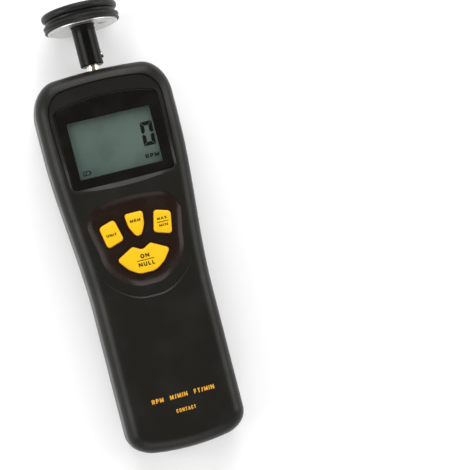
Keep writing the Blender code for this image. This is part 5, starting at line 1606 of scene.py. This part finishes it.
    def door_space(self, name: str, gap: float) -> list[bpy.types.Object]:
        """The room for the door with a gap round it: plate, end wall, side rails and catch."""
        half = self.door_half + gap
        high = self.door_length + gap
        rail_start = -PAST if gap else self.back_edge
        low = -PAST if gap else self.door_set
        return [
            block(name + "_plate", (-half, -PAST, low), (half, high, self.door_thickness + gap)),
            block(name + "_end", (-half, -PAST, low), (half, self.door_end + gap, self.door_end_height + gap)),
            block(name + "_rails", (-half - self.door_tongue, rail_start, self.rail_low - gap),
                  (half + self.door_tongue, high - self.door_tongue, self.rail_top + gap)),
            block(name + "_catch", (-self.catch_half - gap, self.door_length - self.door_tongue,
                                    self.rail_low - gap),
                  (self.catch_half + gap, high + self.door_tongue, self.rail_top + gap)),
        ]

    def rear(self) -> bpy.types.Object:
        """The rear moulding: flat back, battery well with the door's bed, pillars for the screws."""
        outline = self.body.points()
        parting = self.split - SEAT_GAP / 2
        rings = self.back_rings(outline, parting - self.parting_band)
        rings.append(ring(outline, parting))
        shell = skin("rear_moulding", rings)
        inner = self.back_rings(outline, parting - self.parting_band, self.wall)
        inner.append(ring(inset(outline, self.wall), parting + PAST))
        shape(shell, Operation.CUT, skin("rear_hollow", inner))
        bed_half = self.door_half + self.door_tongue + SEAT_GAP + self.bed_border
        bed_high = self.door_length + self.door_tongue + SEAT_GAP + self.bed_border
        half = self.well_half + self.well_wall
        high = self.well_high + self.well_wall
        floor = self.wall - SINK
        tongue = frame_plate("lap_tongue", inset(outline, self.wall / 2 + SEAT_GAP), inset(outline, self.wall),
                             parting - self.lap, parting + self.lap - SEAT_GAP)
        shape(shell, Operation.JOIN, tongue,
              block("door_bed", (-bed_half, self.bed_low, floor),
                    (bed_half, bed_high, self.door_thickness + SEAT_GAP + self.bed_thickness)),
              block("battery_well", (-half, floor, floor), (half, high, parting - SINK)),
              block("battery_roof", (-half, self.door_end + 0.001, parting - 2 * SINK),
                    (half, high, self.well_ceiling + self.well_wall)),
              *[post(f"pillar_{index}", x, place, self.wall / 2, parting, self.pillar)
                for index, (x, place) in enumerate(both_sides(self.screw_places))])
        shape(shell, Operation.CUT,
              block("well_hollow", (-self.well_half, self.door_end + SEAT_GAP, -PAST),
                    (self.well_half, self.well_high, self.well_ceiling)),
              *self.door_space("door_space", SEAT_GAP), self.hole_for_spindle())
        for index, (x, place) in enumerate(both_sides(self.screw_places)):
            shape(shell, Operation.CUT, self.counterbore_way(index, x, place))
        smooth(shell, 32.0)
        even_shading(shell)
        return piece(shell, CASE_FINISH, Body.CASE, ["rear_shell"])

    def counterbore_way(self, index: int, x: float, place: float) -> bpy.types.Object:
        """A stepped hole for a case screw, its mouth eased."""
        circle = [Vector((x + math.cos(2 * math.pi * step / 48), place + math.sin(2 * math.pi * step / 48)))
                  for step in range(48)]
        centre = Vector((x, place))
        unit = [(point - centre) for point in circle]
        levels = ((self.counterbore + 0.0003, -PAST), (self.counterbore + 0.0003, 0.0),
                  (self.counterbore, 0.0003), (self.counterbore, self.counterbore_depth),
                  (0.0016, self.counterbore_depth), (0.0016, self.split + PAST))
        return skin(f"screw_way_{index}", [ring([centre + p * radius for p in unit], level)
                                           for radius, level in levels])

    def door(self) -> bpy.types.Object:
        """The sliding door, with its side rails, catch and rounded thumb grooves."""
        door = skin("sliding_door", self.back_rings(self.body.points(), self.door_end_height + PAST))
        plate_form, *more = self.door_space("door_form", 0.0)
        form = shape(plate_form, Operation.JOIN, *more)
        shape(door, Operation.KEEP, form)
        for index in range(self.ribs):
            place = self.door_length - self.rib_from_top - self.rib_pitch * index
            half = self.rib_half - self.rib_shortening * index
            shape(door, Operation.CUT, self.groove(f"thumb_groove_{index}", half, place))
        smooth(door, 32.0)
        even_shading(door)
        return piece(door, CASE_FINISH, Body.DOOR, ["battery_door"])

    def groove(self, name: str, half: float, place: float) -> bpy.types.Object:
        """One thumb groove's cutter: a slot with round ends that narrows as it deepens."""
        width = self.rib_pitch / 2
        middle = place + width / 2

        def slot(margin: float) -> list[Vector]:
            reach, radius = half - margin, width / 2 - margin
            corners = [(reach, middle - radius), (reach, middle + radius), (-reach, middle + radius),
                       (-reach, middle - radius)]
            return rounded([(x, y, radius * 0.98) for x, y in corners], 6)

        start = self.door_set
        levels = ((-0.00015, -PAST), (-0.00015, start), (0.0, start + 0.00012),
                  (0.00004, start + self.rib_depth * 0.6), (0.00016, start + self.rib_depth * 0.9),
                  (0.00034, start + self.rib_depth))
        return skin(name, [ring(slot(margin), level) for margin, level in levels])

    def face_print(self) -> None:
        """The gold print on the grip: what the instrument measures in."""
        level = self.depth + LETTER_DEPTH / 2
        upper = Lettering("print_units", "RPM  M/MIN  FT/MIN", (0.0014, 0.02545), 0.0300, 0.0022, level)
        lower = Lettering("print_contact", "CONTACT", (0.0012, 0.0187), 0.0094, 0.0018, level)
        for line in (upper, lower):
            piece(line.build(), PRINT_FINISH, Body.CASE)


@dataclass
class MeasuringWheel:
    """The spindle, the sleeve on it, the turned disc and the tyre."""

    height: float = 0.019
    body_length: float = 0.1835
    spindle_radius: float = 0.00315
    journal: float = 0.0025
    sleeve_radius: float = 0.0056
    flange_radius: float = 0.0078
    wheel_out: float = 0.0224
    wheel_width: float = 0.0088
    disc_radius: float = 0.017
    seat_radius: float = 0.015
    tyre_radius: float = 0.0184
    hole_x: float = 0.0089
    hole_radius: float = 0.00125
    tread: Sequence[Point] = (
        (0.0010, 0.0), (0.0002, 0.08), (0.0, 0.19), (0.0002, 0.30), (0.0009, 0.38), (0.0018, 0.42),
        (0.0018, 0.55), (0.0008, 0.59), (0.0001, 0.66), (0.0, 0.74), (0.0005, 0.82), (0.0008, 0.85),
        (0.0003, 0.88), (0.0002, 0.95), (0.0005, 1.0))

    def turned(self, name: str, corners: Sequence[Corner], finish: Finish, slot: Slot,
               nodes: Sequence[str]) -> bpy.types.Object:
        """A piece of the wheel, turned about the spindle's axis."""
        obj = turn(name, corners, self.height, self.body_length)
        return piece(even_shading(obj), finish, Body.WHEEL, nodes)

    def build(self) -> None:
        """Builds the three turned pieces; the spindle and the small parts keep their solids."""
        self.sleeve()
        self.disc()
        self.tyre()
        for node in ("spindle", "retaining_clip", "encoder_disc", "set_screw"):
            LOG.info("%s keeps its solid", node)

    def sleeve(self) -> bpy.types.Object:
        """The black sleeve, flanged at the wheel and bored for the spindle."""
        front = self.wheel_out + self.wheel_width - 0.0011
        bore = self.spindle_radius + SEAT_GAP
        foot = 0.0031
        corners = [(bore, foot, 0.0002), (self.sleeve_radius, foot, 0.0005), (self.sleeve_radius, front - 0.0012, 0.0),
                   (self.flange_radius, front - 0.0012, 0.00015), (self.flange_radius, front, 0.0003),
                   (0.0, front, 0.0), (0.0, 0.0197, 0.0), (bore, 0.0197, 0.0)]
        obj = turn("sleeve_turning", corners, self.height, self.body_length)
        screw_way = self.side_hole()
        shape(obj, Operation.CUT, screw_way)
        smooth(obj)
        return piece(even_shading(obj), SLEEVE_FINISH, Body.WHEEL, ["hub_sleeve"])

    def side_hole(self) -> bpy.types.Object:
        """The cutter for the set screw's thread in the sleeve's side."""
        rest()
        bpy.ops.mesh.primitive_cylinder_add(vertices=40, radius=0.0018, depth=0.0038,
                                            location=(0.0046, at(self.body_length + 0.0075), self.height),
                                            rotation=(0.0, math.pi / 2, 0.0))
        obj = name_it("set_screw_way")
        bpy.ops.object.transform_apply(location=True, rotation=True, scale=True)
        return obj

    def disc(self) -> bpy.types.Object:
        """The turned disc, flanged behind the tyre, its under face a little hollow, with two small holes."""
        front = self.wheel_out + self.wheel_width - 0.0011
        bore = self.sleeve_radius + SEAT_GAP
        lip_top = self.wheel_out + 0.0012
        room = self.flange_radius + SEAT_GAP
        shelf = front - 0.0012 - SEAT_GAP
        floor = self.wheel_out + 0.0045
        inside = self.seat_radius - 0.0018
        corners = [(bore, self.wheel_out + 0.0003, 0.0003), (self.disc_radius - 0.0004, self.wheel_out - 0.0006, 0.0001),
                   (self.disc_radius, self.wheel_out - 0.0005, 0.0002),
                   (self.disc_radius, lip_top, 0.0002), (self.seat_radius, lip_top, 0.0),
                   (self.seat_radius, front, 0.0003), (inside, front, 0.0003), (inside - 0.0002, floor, 0.0008),
                   (room, floor, 0.0), (room, shelf, 0.0), (bore, shelf, 0.0)]
        obj = turn("wheel_turning", corners, self.height, self.body_length)
        for index, (x, radius) in enumerate(((self.hole_x, self.hole_radius), (-0.0062, 0.0004))):
            shape(obj, Operation.CUT, self.face_hole(index, x, radius))
        smooth(obj)
        return piece(even_shading(obj), ALUMINIUM_FINISH, Body.WHEEL, ["wheel_disc"])

    def face_hole(self, index: int, x: float, radius: float) -> bpy.types.Object:
        """The cutter for a small hole from the disc's under face."""
        rest()
        depth = 0.004
        start = self.body_length + self.wheel_out - 0.0012
        bpy.ops.mesh.primitive_cylinder_add(vertices=32, radius=radius, depth=depth,
                                            location=(x, at(start), self.height), rotation=(math.pi / 2, 0.0, 0.0))
        obj = name_it(f"disc_hole_{index}")
        bpy.ops.object.transform_apply(location=True, rotation=True, scale=True)
        return obj

    def tyre(self) -> bpy.types.Object:
        """The rubber tyre with its two beads and the groove between them."""
        front = self.wheel_out + self.wheel_width
        seat = self.seat_radius + SEAT_GAP
        lip_seat = self.disc_radius + SEAT_GAP
        lip_top = self.wheel_out + 0.0012 + SEAT_GAP
        outside = [(self.tyre_radius - under, front - self.wheel_width * share, 0.00025)
                   for under, share in self.tread[::-1]]
        outside[0] = (*outside[0][:2], 0.0001)
        corners = [(seat, front - 0.00055, 0.0), (seat, lip_top, 0.0), (lip_seat, lip_top, 0.0),
                   (lip_seat, self.wheel_out, 0.0001), *outside, (seat + 0.00055, front, 0.0002)]
        return self.turned("tyre_moulding", corners, RUBBER_FINISH, Slot.RUBBER, ["tyre"])


@dataclass
class Inside:
    """The solids that keep their shape, and the finish that each one gets."""

    finishes: dict[str, Finish] = field(default_factory=lambda: {
        "spindle": NICKEL_FINISH, "retaining_clip": STEEL_FINISH, "encoder_disc": RESIN_FINISH,
        "set_screw": STEEL_FINISH, "bearing_block": ALUMINIUM_FINISH, "front_bearing": STEEL_FINISH,
        "rear_bearing": STEEL_FINISH, "optical_sensor": RESIN_FINISH, "main_board": BOARD_FINISH,
        "controller_chip": RESIN_FINISH, "crystal": STEEL_FINISH, "capacitor": ALUMINIUM_FINISH,
        "keypad_mat": GREY_RUBBER_FINISH, "lcd_frame": RESIN_FINISH, "lcd_glass": GLASS_FINISH,
        "contact_strip_lower": GREY_RUBBER_FINISH, "contact_strip_upper": GREY_RUBBER_FINISH,
        "battery": JACKET_FINISH, "battery_snap": RESIN_FINISH, "battery_lead_red": RED_FINISH,
        "battery_lead_black": LEAD_BLACK_FINISH,
    })

    def build(self) -> None:
        """Dresses every solid that still shows."""
        for name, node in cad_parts.items():
            if node.hide_render:
                continue
            finish = STEEL_FINISH if "screw" in name else self.finishes[name]
            finish.dress(node)
            LOG.info("%s keeps its solid, dressed in %s", name, finish.name)


@dataclass
class Studio:
    """The white table, the soft boxes and the camera."""

    camera_place: tuple[float, float, float] = (-0.06164, -0.02914, 0.73238)
    camera_turn: tuple[float, float, float] = (3.1899, -8.0671, -14.6100)
    lens: float = 114.894
    table_half: float = 3.0
    table_colour: Colour = (0.86, 0.86, 0.86)
    table_lift: float = 0.14
    boxes: Sequence[tuple[str, tuple[float, float, float], float, float]] = (
        ("box_left", (-1.05, 0.10, 0.80), 0.8, 8.4),
        ("box_right", (1.10, 0.05, 0.75), 0.8, 6.4),
        ("box_head", (0.10, 1.15, 0.85), 1.2, 17.5),
        ("box_foot", (-0.20, -1.20, 0.90), 0.9, 6.0),
    )

    def build(self) -> None:
        """Builds the table, the light and the camera."""
        scene = bpy.context.scene
        scene.view_settings.view_transform = "Standard"
        self.table()
        self.world(scene)
        for name, place, size, power in self.boxes:
            self.soft_box(name, Vector(place), size, power)
        scene.camera = self.camera()

    def table(self) -> bpy.types.Object:
        """The white table top that the instrument lies on."""
        rest()
        bpy.ops.mesh.primitive_plane_add(size=2 * self.table_half, location=(0.0, 0.0, 0.0))
        obj = name_it("table")
        made = bpy.data.materials.new("table_white")
        made.use_nodes = True
        wiring = Wiring(made.node_tree)
        shader = made.node_tree.nodes["Principled BSDF"]
        tone = wiring.noise(wiring.place(), 0.4)
        wiring.put(shader.inputs["Base Color"], wiring.blend(wiring.scale(tone, 0.3, 0.7, 0.0, 0.03),
                                                             self.table_colour, (0.8, 0.8, 0.8)))
        shader.inputs["Roughness"].default_value = 0.9
        shader.inputs["Specular IOR Level"].default_value = 0.1
        rays = wiring.add("ShaderNodeLightPath").outputs
        mirrored = wiring.sum("MAXIMUM", rays["Is Glossy Ray"], rays["Is Transmission Ray"])
        seen = wiring.sum("MAXIMUM", rays["Is Camera Ray"], mirrored)
        shader.inputs["Emission Color"].default_value = (1.0, 1.0, 1.0, 1.0)
        wiring.put(shader.inputs["Emission Strength"], wiring.sum("MULTIPLY", seen, self.table_lift))
        obj.data.materials.append(made)
        return obj

    def world(self, scene: bpy.types.Scene) -> None:
        """The room: white to the camera and in reflections low down, dim overhead."""
        world = bpy.data.worlds.new("room")
        scene.world = world
        world.use_nodes = True
        tree = world.node_tree
        tree.nodes.clear()
        wiring = Wiring(tree)
        rays = wiring.add("ShaderNodeLightPath")
        direction = wiring.add("ShaderNodeTexCoord").outputs["Generated"]
        _, _, up = wiring.axes(direction)
        dim = wiring.scale(up, 0.15, 0.8, 0.9, 0.18, smooth=True)
        backdrop = wiring.scale(up, 0.15, 0.8, 1.0, 0.18, smooth=True)
        mirrored = wiring.sum("MAXIMUM", rays.outputs["Is Glossy Ray"], rays.outputs["Is Transmission Ray"])
        seen = wiring.sum("MAXIMUM", rays.outputs["Is Camera Ray"], wiring.sum("MULTIPLY", mirrored, backdrop))
        strength = wiring.sum("MAXIMUM", seen, dim)
        light = wiring.add("ShaderNodeBackground", {"Color": (1.0, 1.0, 1.0), "Strength": strength})
        out = wiring.add("ShaderNodeOutputWorld")
        tree.links.new(light.outputs[0], out.inputs["Surface"])

    def soft_box(self, name: str, place: Vector, size: float, power: float) -> bpy.types.Object:
        """A square soft box aimed at the instrument."""
        rest()
        bpy.ops.object.light_add(type="AREA", location=place)
        lamp = bpy.context.object
        lamp.name = name
        lamp.data.name = name
        lamp.data.size = size
        lamp.data.energy = power
        lamp.rotation_euler = (-place).to_track_quat("-Z", "Y").to_euler()
        return lamp

    def camera(self) -> bpy.types.Object:
        """The camera, looking down at the photograph's angle."""
        rest()
        turn_by = tuple(math.radians(angle) for angle in self.camera_turn)
        bpy.ops.object.camera_add(location=self.camera_place, rotation=turn_by)
        obj = bpy.context.object
        obj.name = "camera"
        obj.data.lens = self.lens
        obj.data.sensor_width = 36.0
        obj.data.clip_end = 20.0
        return obj


def main() -> None:
    """Builds the instrument and its studio."""
    logging.basicConfig(level=logging.INFO, format="%(message)s")
    display, keypad = Display(), Keypad()
    Studio().build()
    Case().build(display, keypad)
    display.build()
    keypad.build()
    MeasuringWheel().build()
    Inside().build()
    rest()


if __name__ == "__main__":
    main()
